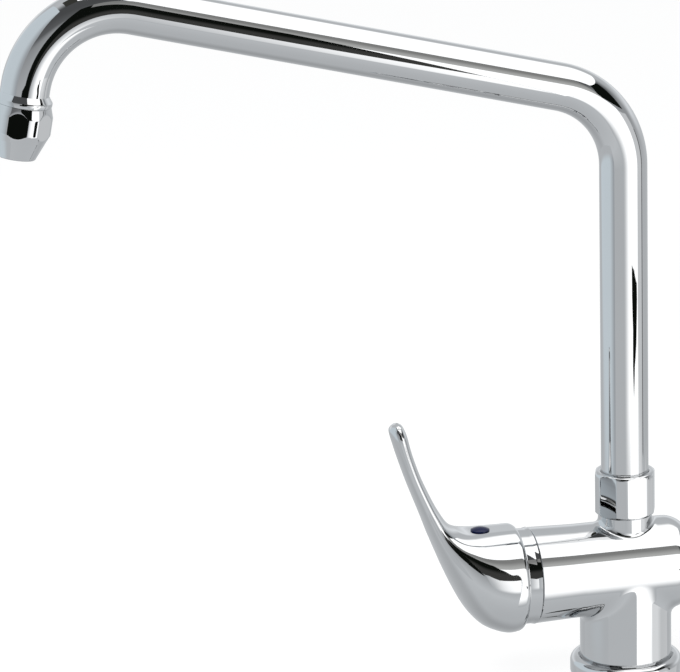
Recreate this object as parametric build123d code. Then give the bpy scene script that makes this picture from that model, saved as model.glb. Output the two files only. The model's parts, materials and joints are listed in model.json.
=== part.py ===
"""Single lever kitchen mixer tap, built as separate named pieces in one frame.

Millimetres, Z up, origin on the worktop at the centre of the tap hole.
The lever and the spout reach towards -Y, which is called forward here.
"""
import os
from math import atan, cos, radians, sin, sqrt, tan

from build123d import *

# Fits
RUN_GAP = 0.05
SNUG_GAP = 0.02
FREE_GAP = 0.3

# Spout
TUBE_R = 11.0
TUBE_WALL = 1.0
SPOUT_CORNER_Z = 276.1
SPOUT_RISE_DEG = 14.3
SPOUT_RUN = 275.3
LOWER_BEND_R = 40.0
UPPER_BEND_R = 40.0
OUTLET_LEAN_DEG = 10.7

# Body casting
BARREL_R = 21.75
STEM_INSET = 0.45
BARREL_MOUTH_R = 22.4
BARREL_Z = 52.7
BARREL_FRONT = 46.5
BARREL_BACK = -31.0
BARREL_END_ROUND = 12.0
MOUTH_FLARE_START = 25.0
MOUTH_CHAMFER = 0.8
CAST_FILLET = 3.0
BOSS_R = 12.6
BOSS_TOP = 78.65
BOSS_FILLET = 2.5
NECK_R = 12.0
NECK_TOP = 93.0

# Base flange and worktop fixing
FLANGE_OVERHANG = 4.7
FLANGE_H = 10.0
FLANGE_LOWER_ROUND = 2.5
FLANGE_UPPER_ROUND = 4.5
FLANGE_INNER_CHAMFER = 1.2
FLANGE_LIP_R = 15.2
FLANGE_LIP_H = 2.0
SPIGOT_R = 17.0
SPIGOT_H = 3.0
GASKET_EDGE = 1.0
GASKET_WIDTH = 3.5
GASKET_H = 1.6
WORKTOP_T = 38.0
STUD_R = 4.0
STUD_Y = 10.5
STUD_LENGTH = 76.0
STUD_SCREWED_IN = 12.0
STUD_CHAMFER = 0.8
BRACKET_R = 24.0
BRACKET_SLOT_HALF = 14.0
BRACKET_SLOT_Y = 3.5
BRACKET_T = 2.0
PAD_T = 3.0
FIXING_NUT_AF = 13.0
FIXING_NUT_H = 8.0
NUT_EASE = 1.0
INLET_R = 4.5
INLET_DEPTH = 12.0
INLET_X = 8.0
INLET_Y = -3.0
WATERWAY_R = 3.2

# Spout nut and spout tail
NUT_R = 14.3
NUT_AF = 27.0
NUT_TOP = 99.5
NUT_SHOULDER = 3.0
NUT_CHAMFER = 1.4
NUT_LIP = 3.3
NUT_TURN_DEG = 38.0
TAIL_COLLAR_H = 2.0
TAIL_BORE_R = 7.5
TAIL_NOSE = 20.0
TAIL_STUB = 10.0
TAIL_RING_MINOR = 0.95
TAIL_RING_DROPS = (6.0, 13.0)
OUTLET_WAY_R = 5.0

# Outlet and aerator, as distances along the outlet axis from the upper spout corner
FERRULE_TOP = 45.0
FERRULE_WIDEST = 48.6
FERRULE_R = 12.9
FERRULE_ROUND = 1.0
SEAM = 49.8
SEAM_R = 12.7
TUBE_END = 48.6
OUTLET_THREAD_R = 11.7
OUTLET_THREAD_END = 58.0
OUTLET_BORE_R = 9.0
WASHER_T = 2.0
AERATOR_R = 14.0
AERATOR_AF = 26.0
AERATOR_FULL = 54.2
AERATOR_FLATS_END = 64.0
AERATOR_CONE_TOP = 66.3
AERATOR_CONE_R = 12.3
AERATOR_END = 73.9
AERATOR_END_R = 9.0
AERATOR_END_ROUND = 0.4
AERATOR_LIP = 1.0
AERATOR_TURN_DEG = 46.5
INSERT_R = 8.0
INSERT_FLANGE_R = 10.2
INSERT_FLANGE_T = 2.0
INSERT_WALL = 1.0
SCREEN_T = 0.8
SCREEN_RECESS = 0.8
SCREEN_PITCH = 2.6
SCREEN_HOLE = 1.8
SCREEN_ROWS = 5

# Cartridge, as distances forward from the spout axis along the barrel axis
SEAT = 8.0
CARTRIDGE_R = 17.5
CARTRIDGE_BORE_R = 15.2
BASE_LIP = 3.0
BASE_PLUG = 3.0
PORT_R = 3.2
INLET_PORT_X = 6.5
INLET_PORT_DROP = 4.5
OUTLET_PORT_RISE = 7.5
SEAL_MINOR = 0.65
DISC_T = 4.0
FIXED_DISC_R = 15.0
MOVING_DISC_R = 12.0
MIXING_WIDTH = 13.0
MIXING_HEIGHT = 7.0
MIXING_DEPTH = 2.0
DRIVER_PLATE_T = 2.5
DRIVER_HALF = 10.1
DRIVER_H = 8.0
PIVOT = 42.5
BALL_ARM = 13.0
BALL_R = 3.9
BALL_CLEAR = 0.15
TURRET_BACK = 31.0
TURRET_SHOULDER = 38.5
TURRET_FRONT = 48.5
TURRET_NECK_R = 13.6
TURRET_LEG_BACK = 25.0
TURRET_SLOT_HALF = 5.6
HOUSING_LIP_T = 2.5
HOUSING_LIP_R = 13.9
PIN_R = 2.0
PIN_HALF = 13.0
SPINDLE_SIDE = 7.0
SPINDLE_FRONT = 30.0
SPINDLE_BACK = 7.0
SPINDLE_NECK_R = 2.7
RETAINER_R = 19.0
RETAINER_BORE_R = 14.2
RETAINER_HEX_AF = 33.0
RETAINER_HEX_H = 3.5

# Dress collar and lever
LIFT_DEG = 22.0
COLLAR_R = 22.2
COLLAR_SHELL = 1.4
COLLAR_MOUTH_R = 15.0
RIM = 52.5
RIM_ROUND = 3.0
CAP_R = 25.2
CAVITY_CLEAR = 0.65
DECK_RISE = 24.3
DECK_RUN = 74.0
DECK_SWEEP_R = 14.0
DECK_SWEEP_DEG = 80.0
BUTTON_S = 70.0
BUTTON_R = 4.4
BUTTON_DEPTH = 4.0
BUTTON_DOME = 1.1
GRUB_R = 2.5
GRUB_LENGTH = 7.0
GRUB_KEY_AF = 2.5
GRUB_KEY_DEPTH = 3.0

# Lever stations: forward and up of the rim centre to the upper edge, the same to the lower edge,
# and half the width across the lever there
LEVER_STATIONS = (
    (8.0, 25.2, 8.0, -25.2, 25.2),
    (12.5, 25.2, 18.1, -20.6, 24.5),
    (17.0, 25.2, 26.6, -10.6, 22.6),
    (22.0, 25.3, 34.1, 4.4, 18.9),
    (26.5, 25.8, 38.2, 14.1, 15.7),
    (30.5, 27.3, 40.8, 20.5, 13.3),
    (34.0, 30.3, 43.0, 26.1, 11.6),
    (37.2, 35.2, 45.2, 32.2, 10.4),
    (40.5, 41.3, 47.6, 38.6, 9.3),
    (45.9, 53.4, 52.3, 51.0, 8.2),
    (49.9, 65.3, 56.3, 62.9, 7.7),
    (51.8, 73.0, 58.6, 70.5, 7.5),
    (53.0, 76.4, 59.6, 74.0, 6.6),
    (54.2, 78.6, 59.9, 76.5, 5.0),
    (55.6, 79.3, 58.6, 78.3, 3.0),
)

# Values that follow from the sizes above
STEM_R = BARREL_R - STEM_INSET
FLANGE_R = STEM_R + FLANGE_OVERHANG
GASKET_R = FLANGE_R - FLANGE_LOWER_ROUND - GASKET_EDGE
GASKET_INNER_R = GASKET_R - GASKET_WIDTH
OUTLET_TURN_DEG = 90 + SPOUT_RISE_DEG - OUTLET_LEAN_DEG
RISE_TURN_DEG = 90 - SPOUT_RISE_DEG
UPPER_CORNER_S = SPOUT_RUN * cos(radians(SPOUT_RISE_DEG))
UPPER_CORNER_Z = SPOUT_CORNER_Z + SPOUT_RUN * sin(radians(SPOUT_RISE_DEG))
TUBE_START = NECK_TOP + RUN_GAP + TAIL_COLLAR_H
COLLAR_SPHERE_R = sqrt((RIM - PIVOT) ** 2 + COLLAR_R**2)
CAVITY_R = COLLAR_SPHERE_R + CAVITY_CLEAR
SPINDLE_TILT_DEG = LIFT_DEG / 2
DISC_TRAVEL = 2 * BALL_ARM * sin(radians(SPINDLE_TILT_DEG))
FIXED_DISC_BACK = SEAT + BASE_LIP + BASE_PLUG
MOVING_DISC_BACK = FIXED_DISC_BACK + DISC_T + RUN_GAP
DRIVER_BACK = MOVING_DISC_BACK + DISC_T
HOUSING_FRONT = TURRET_SHOULDER + RUN_GAP + HOUSING_LIP_T

# Frames: barrel pieces are drawn standing up and laid forward, side outlines are drawn as forward and up
FORWARD = Plane(origin=(0, 0, BARREL_Z), x_dir=(1, 0, 0), z_dir=(0, -1, 0))
SIDE = Plane(origin=(0, 0, 0), x_dir=(0, -1, 0), z_dir=(-1, 0, 0))
OUTLET = Plane(
    origin=(0, -UPPER_CORNER_S, UPPER_CORNER_Z),
    x_dir=(1, 0, 0),
    z_dir=(0, -sin(radians(OUTLET_LEAN_DEG)), -cos(radians(OUTLET_LEAN_DEG))),
)
SPINDLE = Plane(
    origin=(0, -PIVOT, BARREL_Z),
    x_dir=(1, 0, 0),
    z_dir=(0, -cos(radians(SPINDLE_TILT_DEG)), sin(radians(SPINDLE_TILT_DEG))),
)


def turned(corners, rounds=()):
    """Revolve (radius, height) corners about Z; rounds pairs a corner's number with its radius."""
    outline = make_face(Polyline(*corners, close=True))
    for number, radius in rounds:
        spot = Vector(corners[number][0], corners[number][1], 0)
        outline = fillet(outline.vertices().sort_by_distance(spot)[0], radius)
    return revolve(Plane.XZ * outline, Axis.Z)


def rod(radius, bottom, top):
    """A round bar on Z between two heights."""
    standing = Cylinder(radius, top - bottom, align=(Align.CENTER, Align.CENTER, Align.MIN))
    return Pos(0, 0, bottom) * standing


def tube(outer, inner, bottom, top):
    """A plain ring on Z between two heights."""
    return turned([(inner, bottom), (outer, bottom), (outer, top), (inner, top)])


def hexagon(across_flats, bottom, top, turn_deg=0):
    """A hexagon bar on Z, turned about it."""
    outline = RegularPolygon(across_flats / 2, 6, major_radius=False, rotation=turn_deg)
    return Pos(0, 0, bottom) * extrude(outline, top - bottom)


def o_ring(major, minor, height):
    """A round section ring lying across Z."""
    return Pos(0, 0, height) * Torus(major, minor)


def port_spots():
    """Centres of the two inlet ports and the outlet port, across the barrel axis."""
    return [
        Pos(-INLET_PORT_X, -INLET_PORT_DROP, 0),
        Pos(INLET_PORT_X, -INLET_PORT_DROP, 0),
        Pos(0, OUTLET_PORT_RISE, 0),
    ]


def tap_body():
    """Cast body: stem, barrel and spout boss, with the cartridge chamber and the waterways."""
    barrel = FORWARD * rod(BARREL_R, BARREL_BACK, BARREL_FRONT - MOUTH_CHAMFER)
    stem = rod(STEM_R, FLANGE_LIP_H, BARREL_Z)
    body = fillet((barrel + stem).edges().filter_by(GeomType.BSPLINE), CAST_FILLET)
    body = fillet(body.edges().filter_by(GeomType.CIRCLE).sort_by(Axis.Y)[-1], BARREL_END_ROUND)
    flare = turned(
        [
            (0, MOUTH_FLARE_START),
            (BARREL_R, MOUTH_FLARE_START),
            (BARREL_MOUTH_R, BARREL_FRONT - MOUTH_CHAMFER),
            (BARREL_MOUTH_R - MOUTH_CHAMFER, BARREL_FRONT),
            (0, BARREL_FRONT),
        ]
    )
    body += FORWARD * flare
    body += rod(BOSS_R, BARREL_Z, BOSS_TOP)
    high = body.edges().filter_by(GeomType.BSPLINE).sort_by(Axis.Z)[-1]
    body = fillet(high, BOSS_FILLET)
    body += rod(NECK_R, BOSS_TOP, NECK_TOP)

    thread_back = HOUSING_FRONT - HOUSING_LIP_T
    body -= FORWARD * rod(CARTRIDGE_R + RUN_GAP, SEAT, BARREL_FRONT)
    body -= FORWARD * rod(RETAINER_R + SNUG_GAP, thread_back, BARREL_FRONT)
    body -= rod(TUBE_R - TUBE_WALL, NECK_TOP - TAIL_NOSE - FREE_GAP, NECK_TOP)
    outlet_z = BARREL_Z + OUTLET_PORT_RISE
    body -= rod(OUTLET_WAY_R, outlet_z, NECK_TOP)
    body -= FORWARD * (Pos(0, OUTLET_PORT_RISE, 0) * rod(PORT_R, 0, SEAT))
    for side in (-1, 1):
        inlet = Pos(side * INLET_X, INLET_Y, 0)
        body -= inlet * rod(INLET_R, FLANGE_LIP_H, FLANGE_LIP_H + INLET_DEPTH)
        body -= inlet * rod(WATERWAY_R, FLANGE_LIP_H, BARREL_Z - INLET_PORT_DROP)
        gallery = Pos(side * INLET_X, -INLET_PORT_DROP, 0) * rod(WATERWAY_R, -INLET_Y, SEAT)
        body -= FORWARD * gallery
    body -= Pos(0, STUD_Y, 0) * rod(STUD_R + SNUG_GAP, FLANGE_LIP_H, FLANGE_LIP_H + STUD_SCREWED_IN)
    return body


def base_flange():
    """Rounded ring under the stem, with a lip the stem stands on and a spigot for the tap hole."""
    bore = STEM_R + RUN_GAP
    ring = turned(
        [
            (FLANGE_LIP_R, -SPIGOT_H),
            (SPIGOT_R, -SPIGOT_H),
            (SPIGOT_R, 0),
            (FLANGE_R, 0),
            (FLANGE_R, FLANGE_H),
            (bore + FLANGE_INNER_CHAMFER, FLANGE_H),
            (bore, FLANGE_H - FLANGE_INNER_CHAMFER),
            (bore, FLANGE_LIP_H),
            (FLANGE_LIP_R, FLANGE_LIP_H),
        ],
        [(3, FLANGE_LOWER_ROUND), (4, FLANGE_UPPER_ROUND - FLANGE_INNER_CHAMFER)],
    )
    return ring - tube(GASKET_R + SNUG_GAP, GASKET_INNER_R - SNUG_GAP, 0, GASKET_H)


def base_gasket():
    """Rubber ring in the flange's groove, flush with the worktop."""
    return tube(GASKET_R, GASKET_INNER_R, 0, GASKET_H)


def fixing_stud():
    """Threaded stud that hangs from the body through the tap hole."""
    top = FLANGE_LIP_H + STUD_SCREWED_IN
    return Pos(0, STUD_Y, 0) * chamfer(
        rod(STUD_R, top - STUD_LENGTH, top).edges().filter_by(GeomType.CIRCLE), STUD_CHAMFER
    )


def horseshoe(top, thickness):
    """Open sided plate around the stud that leaves room for the supply hoses."""
    slot_length = BRACKET_R + BRACKET_SLOT_Y
    slot = Pos(0, BRACKET_SLOT_Y - slot_length / 2) * Rectangle(2 * BRACKET_SLOT_HALF, slot_length)
    outline = Circle(BRACKET_R) - slot - Pos(0, STUD_Y) * Circle(STUD_R + SNUG_GAP)
    return Pos(0, 0, top - thickness) * extrude(outline, thickness)


def fixing_nut():
    """Hexagon nut that pulls the bracket up under the worktop."""
    top = -WORKTOP_T - PAD_T - BRACKET_T
    bottom = top - FIXING_NUT_H
    corner = FIXING_NUT_AF / sqrt(3)
    eased = turned(
        [
            (STUD_R + SNUG_GAP, bottom),
            (corner - NUT_EASE, bottom),
            (corner, bottom + NUT_EASE / 2),
            (corner, top - NUT_EASE / 2),
            (corner - NUT_EASE, top),
            (STUD_R + SNUG_GAP, top),
        ]
    )
    return Pos(0, STUD_Y, 0) * (eased & hexagon(FIXING_NUT_AF, bottom, top))


def spout_nut():
    """Union nut over the boss neck, with six spanner flats and a rounded shoulder."""
    bore = TUBE_R + RUN_GAP
    lip_bottom = NUT_TOP - NUT_LIP
    shell = turned(
        [
            (NECK_R + SNUG_GAP, BOSS_TOP + SNUG_GAP),
            (NUT_R - NUT_CHAMFER, BOSS_TOP + SNUG_GAP),
            (NUT_R, BOSS_TOP + NUT_CHAMFER),
            (NUT_R, NUT_TOP - NUT_SHOULDER),
            (bore + NUT_CHAMFER / 2, NUT_TOP),
            (bore, NUT_TOP - NUT_CHAMFER / 2),
            (bore, lip_bottom),
            (NECK_R + SNUG_GAP, lip_bottom),
        ],
        [(3, NUT_SHOULDER)],
    )
    return shell & hexagon(NUT_AF, BOSS_TOP, NUT_TOP, NUT_TURN_DEG)


def slip_ring():
    """Plastic ring between the spout's collar and the nut's lip."""
    top = NUT_TOP - NUT_LIP
    return tube(NECK_R - RUN_GAP, TUBE_R + RUN_GAP, TUBE_START + RUN_GAP, top)


def spout_tube():
    """Bent tube from the nut up, along the rising run and down to the outlet."""
    rise = radians(SPOUT_RISE_DEG)
    lower_cut = LOWER_BEND_R * tan(radians(RISE_TURN_DEG / 2))
    upper_cut = UPPER_BEND_R * tan(radians(OUTLET_TURN_DEG / 2))
    run = SPOUT_RUN - lower_cut - upper_cut
    up = Line((0, TUBE_START), (0, SPOUT_CORNER_Z - lower_cut))
    lower_bend = JernArc(up @ 1, up % 1, LOWER_BEND_R, -RISE_TURN_DEG)
    along = Line(lower_bend @ 1, (lower_bend @ 1) + run * Vector(cos(rise), sin(rise)))
    upper_bend = JernArc(along @ 1, along % 1, UPPER_BEND_R, -OUTLET_TURN_DEG)
    down = Line(upper_bend @ 1, (upper_bend @ 1) + (TUBE_END - upper_cut) * (upper_bend % 1))
    path = SIDE * (Curve() + [up, lower_bend, along, upper_bend, down])
    section = Pos(0, 0, TUBE_START) * (Circle(TUBE_R) - Circle(TUBE_R - TUBE_WALL))
    return sweep(section, path=path)


def spout_tail():
    """Brass tail in the tube's lower end, with a collar under the nut and two seal grooves."""
    socket = TUBE_R - TUBE_WALL
    nose = socket - RUN_GAP
    seat = NECK_TOP + RUN_GAP
    tail = turned(
        [
            (TAIL_BORE_R, NECK_TOP - TAIL_NOSE),
            (nose, NECK_TOP - TAIL_NOSE),
            (nose, seat),
            (NECK_R - RUN_GAP, seat),
            (NECK_R - RUN_GAP, TUBE_START),
            (socket - SNUG_GAP, TUBE_START),
            (socket - SNUG_GAP, TUBE_START + TAIL_STUB),
            (TAIL_BORE_R, TUBE_START + TAIL_STUB),
        ]
    )
    for drop in TAIL_RING_DROPS:
        middle = NECK_TOP - drop
        groove_floor = nose - 2 * TAIL_RING_MINOR
        half = TAIL_RING_MINOR + SNUG_GAP
        tail -= tube(nose + FREE_GAP, groove_floor, middle - half, middle + half)
    return tail


def tail_o_rings():
    """Two rubber rings in the tail's grooves."""
    major = TUBE_R - TUBE_WALL - RUN_GAP - TAIL_RING_MINOR
    return [o_ring(major, TAIL_RING_MINOR, NECK_TOP - drop) for drop in TAIL_RING_DROPS]


def outlet_ferrule():
    """Collar brazed on the tube's end, with the outside thread that takes the aerator."""
    socket = TUBE_R + SNUG_GAP
    return OUTLET * turned(
        [
            (socket, FERRULE_TOP),
            (FERRULE_R, FERRULE_WIDEST - (FERRULE_R - TUBE_R) / 2),
            (FERRULE_R, FERRULE_WIDEST),
            (SEAM_R, SEAM),
            (OUTLET_THREAD_R, SEAM),
            (OUTLET_THREAD_R, OUTLET_THREAD_END),
            (OUTLET_BORE_R, OUTLET_THREAD_END),
            (OUTLET_BORE_R, TUBE_END),
            (socket, TUBE_END),
        ],
        [(1, FERRULE_ROUND)],
    )


def aerator_housing():
    """Aerator body with six spanner flats above a cone."""
    shelf = OUTLET_THREAD_END + WASHER_T
    shelf_end = shelf + INSERT_FLANGE_T
    shell = turned(
        [
            (OUTLET_THREAD_R + SNUG_GAP, SEAM + SNUG_GAP),
            (SEAM_R, SEAM + SNUG_GAP),
            (AERATOR_R, AERATOR_FULL),
            (AERATOR_R, AERATOR_FLATS_END),
            (AERATOR_CONE_R, AERATOR_CONE_TOP),
            (AERATOR_END_R, AERATOR_END),
            (INSERT_R - INSERT_WALL / 2, AERATOR_END),
            (INSERT_R - INSERT_WALL / 2, AERATOR_END - AERATOR_LIP),
            (INSERT_R + SNUG_GAP, AERATOR_END - AERATOR_LIP),
            (INSERT_R + SNUG_GAP, shelf_end),
            (INSERT_FLANGE_R + SNUG_GAP, shelf_end),
            (INSERT_FLANGE_R + SNUG_GAP, shelf),
            (OUTLET_THREAD_R + SNUG_GAP, shelf),
        ],
        [(5, AERATOR_END_ROUND)],
    )
    return OUTLET * (shell & hexagon(AERATOR_AF, SEAM, AERATOR_END, AERATOR_TURN_DEG))


def aerator_washer():
    """Rubber washer between the ferrule and the aerator insert."""
    return OUTLET * tube(OUTLET_THREAD_R, OUTLET_BORE_R, OUTLET_THREAD_END, OUTLET_THREAD_END + WASHER_T)


def aerator_insert():
    """Plastic cup that holds the screen at its lower end."""
    top = OUTLET_THREAD_END + WASHER_T
    bottom = AERATOR_END - AERATOR_LIP
    inner = INSERT_R - INSERT_WALL
    return OUTLET * turned(
        [
            (inner, top),
            (INSERT_FLANGE_R, top),
            (INSERT_FLANGE_R, top + INSERT_FLANGE_T),
            (INSERT_R, top + INSERT_FLANGE_T),
            (INSERT_R, bottom),
            (inner, bottom),
        ]
    )


def aerator_screen():
    """Perforated steel disc across the outlet."""
    bottom = AERATOR_END - AERATOR_LIP - SCREEN_RECESS
    outline = Circle(INSERT_R - INSERT_WALL - SNUG_GAP)
    reach = INSERT_R - INSERT_WALL - SCREEN_HOLE
    for spot in GridLocations(SCREEN_PITCH, SCREEN_PITCH, SCREEN_ROWS, SCREEN_ROWS).locations:
        if spot.position.length < reach:
            outline -= spot * Rectangle(SCREEN_HOLE, SCREEN_HOLE)
    return OUTLET * (Pos(0, 0, bottom - SCREEN_T) * extrude(outline, SCREEN_T))


def cartridge_base():
    """End plate of the cartridge with its three ports and seal pockets."""
    plug_front = SEAT + BASE_LIP + BASE_PLUG
    base = rod(CARTRIDGE_R, SEAT, SEAT + BASE_LIP)
    base += rod(CARTRIDGE_BORE_R - SNUG_GAP, SEAT, plug_front)
    pocket = 2 * SEAL_MINOR
    for spot in port_spots():
        base -= spot * rod(PORT_R, SEAT, plug_front)
        base -= spot * rod(PORT_R + pocket + SNUG_GAP, SEAT, SEAT + pocket)
    return FORWARD * base


def port_seals():
    """Three rubber rings between the cartridge and the body's seat."""
    ring = o_ring(PORT_R + SEAL_MINOR, SEAL_MINOR, SEAT + SEAL_MINOR)
    return [FORWARD * (spot * ring) for spot in port_spots()]


def fixed_disc():
    """Ceramic disc that stays with the cartridge base."""
    disc = rod(FIXED_DISC_R, FIXED_DISC_BACK, FIXED_DISC_BACK + DISC_T)
    for spot in port_spots():
        disc -= spot * rod(PORT_R, FIXED_DISC_BACK, FIXED_DISC_BACK + DISC_T)
    return FORWARD * disc


def moving_disc():
    """Ceramic disc that slides and turns on the fixed one, with a mixing pocket in its face."""
    disc = rod(MOVING_DISC_R, MOVING_DISC_BACK, MOVING_DISC_BACK + DISC_T)
    pocket = extrude(SlotOverall(MIXING_WIDTH, MIXING_HEIGHT), MIXING_DEPTH)
    disc -= Pos(0, 0, MOVING_DISC_BACK) * pocket
    return FORWARD * (Pos(0, -DISC_TRAVEL / 2, 0) * disc)


def disc_driver():
    """Plastic slide on the moving disc, with the socket for the spindle's ball."""
    plate_front = DRIVER_BACK + DRIVER_PLATE_T
    depth = PIVOT - BALL_ARM + BALL_R - plate_front
    plate = rod(MOVING_DISC_R, DRIVER_BACK, plate_front)
    block = Pos(0, 0, plate_front) * Box(
        2 * DRIVER_H, 2 * DRIVER_H, depth, align=(Align.CENTER, Align.CENTER, Align.MIN)
    )
    trimmed = (plate + block) & (
        Pos(0, 0, DRIVER_BACK)
        * Box(
            2 * DRIVER_HALF,
            2 * MOVING_DISC_R,
            depth + DRIVER_PLATE_T,
            align=(Align.CENTER, Align.CENTER, Align.MIN),
        )
    )
    socket = Pos(0, 0, plate_front) * Box(
        2 * DRIVER_H,
        2 * (BALL_R + BALL_CLEAR),
        depth,
        align=(Align.CENTER, Align.CENTER, Align.MIN),
    )
    return FORWARD * (Pos(0, -DISC_TRAVEL / 2, 0) * (trimmed - socket))


def cartridge_housing():
    """Plastic shell of the cartridge with the lip that holds the turret in."""
    back = SEAT + BASE_LIP
    shoulder = TURRET_SHOULDER + RUN_GAP
    return FORWARD * turned(
        [
            (CARTRIDGE_BORE_R, back),
            (CARTRIDGE_R, back),
            (CARTRIDGE_R, HOUSING_FRONT),
            (HOUSING_LIP_R, HOUSING_FRONT),
            (HOUSING_LIP_R, shoulder),
            (CARTRIDGE_BORE_R, shoulder),
        ]
    )


def spindle_turret():
    """Turning guide in the cartridge: carries the pivot pin and steers the disc driver."""
    flange_r = CARTRIDGE_BORE_R - 2 * RUN_GAP
    turret = rod(flange_r, TURRET_LEG_BACK, TURRET_SHOULDER)
    turret += rod(TURRET_NECK_R, TURRET_BACK, TURRET_FRONT)
    leg_gap = Box(
        2 * (DRIVER_HALF + BALL_CLEAR),
        3 * flange_r,
        TURRET_BACK - TURRET_LEG_BACK,
        align=(Align.CENTER, Align.CENTER, Align.MIN),
    )
    turret -= Pos(0, 0, TURRET_LEG_BACK) * leg_gap
    well = Box(
        SPINDLE_SIDE + 2 * BALL_CLEAR,
        2 * TURRET_SLOT_HALF,
        TURRET_FRONT - TURRET_LEG_BACK,
        align=(Align.CENTER, Align.CENTER, Align.MIN),
    )
    turret -= Pos(0, 0, TURRET_LEG_BACK) * well
    block_room = Box(
        2 * (DRIVER_HALF + BALL_CLEAR),
        2 * (DRIVER_H + DISC_TRAVEL / 2 + FREE_GAP),
        PIVOT - BALL_ARM + BALL_R + FREE_GAP - TURRET_LEG_BACK,
        align=(Align.CENTER, Align.CENTER, Align.MIN),
    )
    turret -= Pos(0, 0, TURRET_LEG_BACK) * block_room
    turret -= Pos(0, 0, PIVOT) * Rot(0, 90, 0) * Cylinder(PIN_R + SNUG_GAP, 4 * PIN_HALF)
    return FORWARD * turret


def pivot_pin():
    """Steel pin that the spindle rocks on."""
    return FORWARD * (Pos(0, 0, PIVOT) * Rot(0, 90, 0) * Cylinder(PIN_R, 2 * PIN_HALF))


def spindle():
    """Square spindle with a ball that moves the disc driver; it leans up while the tap is closed."""
    bar = Pos(0, 0, -SPINDLE_BACK) * Box(
        SPINDLE_SIDE,
        SPINDLE_SIDE,
        SPINDLE_FRONT + SPINDLE_BACK,
        align=(Align.CENTER, Align.CENTER, Align.MIN),
    )
    bar += rod(SPINDLE_NECK_R, -BALL_ARM, -SPINDLE_BACK)
    bar += Pos(0, 0, -BALL_ARM) * Sphere(BALL_R)
    bar -= Rot(0, 90, 0) * Cylinder(PIN_R + RUN_GAP, 2 * SPINDLE_SIDE)
    return SPINDLE * bar


def retaining_nut():
    """Brass ring nut that holds the cartridge in the barrel."""
    ring = tube(RETAINER_R, RETAINER_BORE_R, HOUSING_FRONT, BARREL_FRONT)
    head = hexagon(RETAINER_HEX_AF, BARREL_FRONT, BARREL_FRONT + RETAINER_HEX_H)
    head -= rod(RETAINER_BORE_R, BARREL_FRONT, BARREL_FRONT + RETAINER_HEX_H)
    return FORWARD * (ring + head)


def dress_collar():
    """Chrome collar over the retaining nut, domed so that the lever can rock over it."""
    outline = SIDE * make_face(
        Polyline((BARREL_FRONT, 0), (RIM, 0), (RIM, COLLAR_R), (BARREL_FRONT, COLLAR_R), close=True)
    )
    sleeve = revolve(outline, Axis((0, 0, 0), (0, -1, 0)))
    dome = Pos(0, -PIVOT, 0) * Sphere(COLLAR_SPHERE_R)
    front = Pos(0, -RIM, 0) * Box(
        4 * CAP_R, 2 * CAP_R, 4 * CAP_R, align=(Align.CENTER, Align.MAX, Align.CENTER)
    )
    collar = sleeve + (dome & front)
    collar -= Pos(0, -PIVOT, 0) * Sphere(COLLAR_SPHERE_R - COLLAR_SHELL)
    mouth = Pos(0, -PIVOT, 0) * Rot(90, 0, 0) * Cylinder(COLLAR_MOUTH_R, 4 * CAP_R)
    return Pos(0, 0, BARREL_Z) * (collar - mouth)


def lever_section(forward_up, up_up, forward_low, up_low, half_width):
    """Ellipse across the lever between an upper and a lower edge point, from the rim centre."""
    middle = ((forward_up + forward_low) / 2, (up_up + up_low) / 2)
    span = sqrt((forward_up - forward_low) ** 2 + (up_up - up_low) ** 2)
    lean = atan((forward_low - forward_up) / (up_up - up_low))
    plane = Plane(
        origin=(0, -RIM - middle[0], BARREL_Z + middle[1]),
        x_dir=(1, 0, 0),
        z_dir=(0, -cos(lean), sin(lean)),
    )
    return plane * Ellipse(half_width, span / 2)


def lever_rows():
    """The lever's stations with one more halfway along each gap, on a curve through its neighbours."""
    given = [(0, CAP_R, 0, -CAP_R, CAP_R), *LEVER_STATIONS]
    padded = [given[0], *given, given[-1]]
    rows = []
    for before, start, end, after in zip(padded, padded[1:], padded[2:], padded[3:]):
        rows.append(start)
        rows.append([(9 * (b + c) - a - d) / 16 for a, b, c, d in zip(before, start, end, after)])
    return [*rows, given[-1]]


def lever():
    """Lever: a round cap that sweeps up into a slim blade, hollow over the collar."""
    body = loft([lever_section(*row) for row in lever_rows()])
    deck = BARREL_Z + DECK_RISE
    level = Line((RIM - CAP_R, deck), (DECK_RUN, deck))
    sweep_up = JernArc(level @ 1, level % 1, DECK_SWEEP_R, DECK_SWEEP_DEG)
    back = Line(sweep_up @ 1, (RIM - CAP_R, (sweep_up @ 1).Y))
    close_up = Line(back @ 1, level @ 0)
    above = make_face(Curve() + [level, sweep_up, back, close_up])
    body -= extrude(SIDE * above, CAP_R, both=True)
    corner = tube(CAP_R + FREE_GAP, CAP_R - RIM_ROUND, RIM - FREE_GAP, RIM + RIM_ROUND)
    body -= FORWARD * (corner - o_ring(CAP_R - RIM_ROUND, RIM_ROUND, RIM + RIM_ROUND))
    body -= Pos(0, -PIVOT, BARREL_Z) * Sphere(CAVITY_R)
    socket_side = SPINDLE_SIDE + 2 * SNUG_GAP
    socket = Box(
        socket_side, socket_side, SPINDLE_FRONT + SNUG_GAP, align=(Align.CENTER, Align.CENTER, Align.MIN)
    )
    body -= SPINDLE * socket
    body -= Pos(0, -BUTTON_S, 0) * rod(BUTTON_R + SNUG_GAP, deck - BUTTON_DEPTH, deck + BUTTON_DOME)
    body -= Pos(0, -BUTTON_S, 0) * rod(GRUB_R + SNUG_GAP, grub_bottom(), deck)
    return body


def grub_bottom():
    """Height of the spindle's upper flat under the index button."""
    tilt = radians(SPINDLE_TILT_DEG)
    return BARREL_Z + (BUTTON_S - PIVOT) * tan(tilt) + SPINDLE_SIDE / 2 / cos(tilt)


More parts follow.
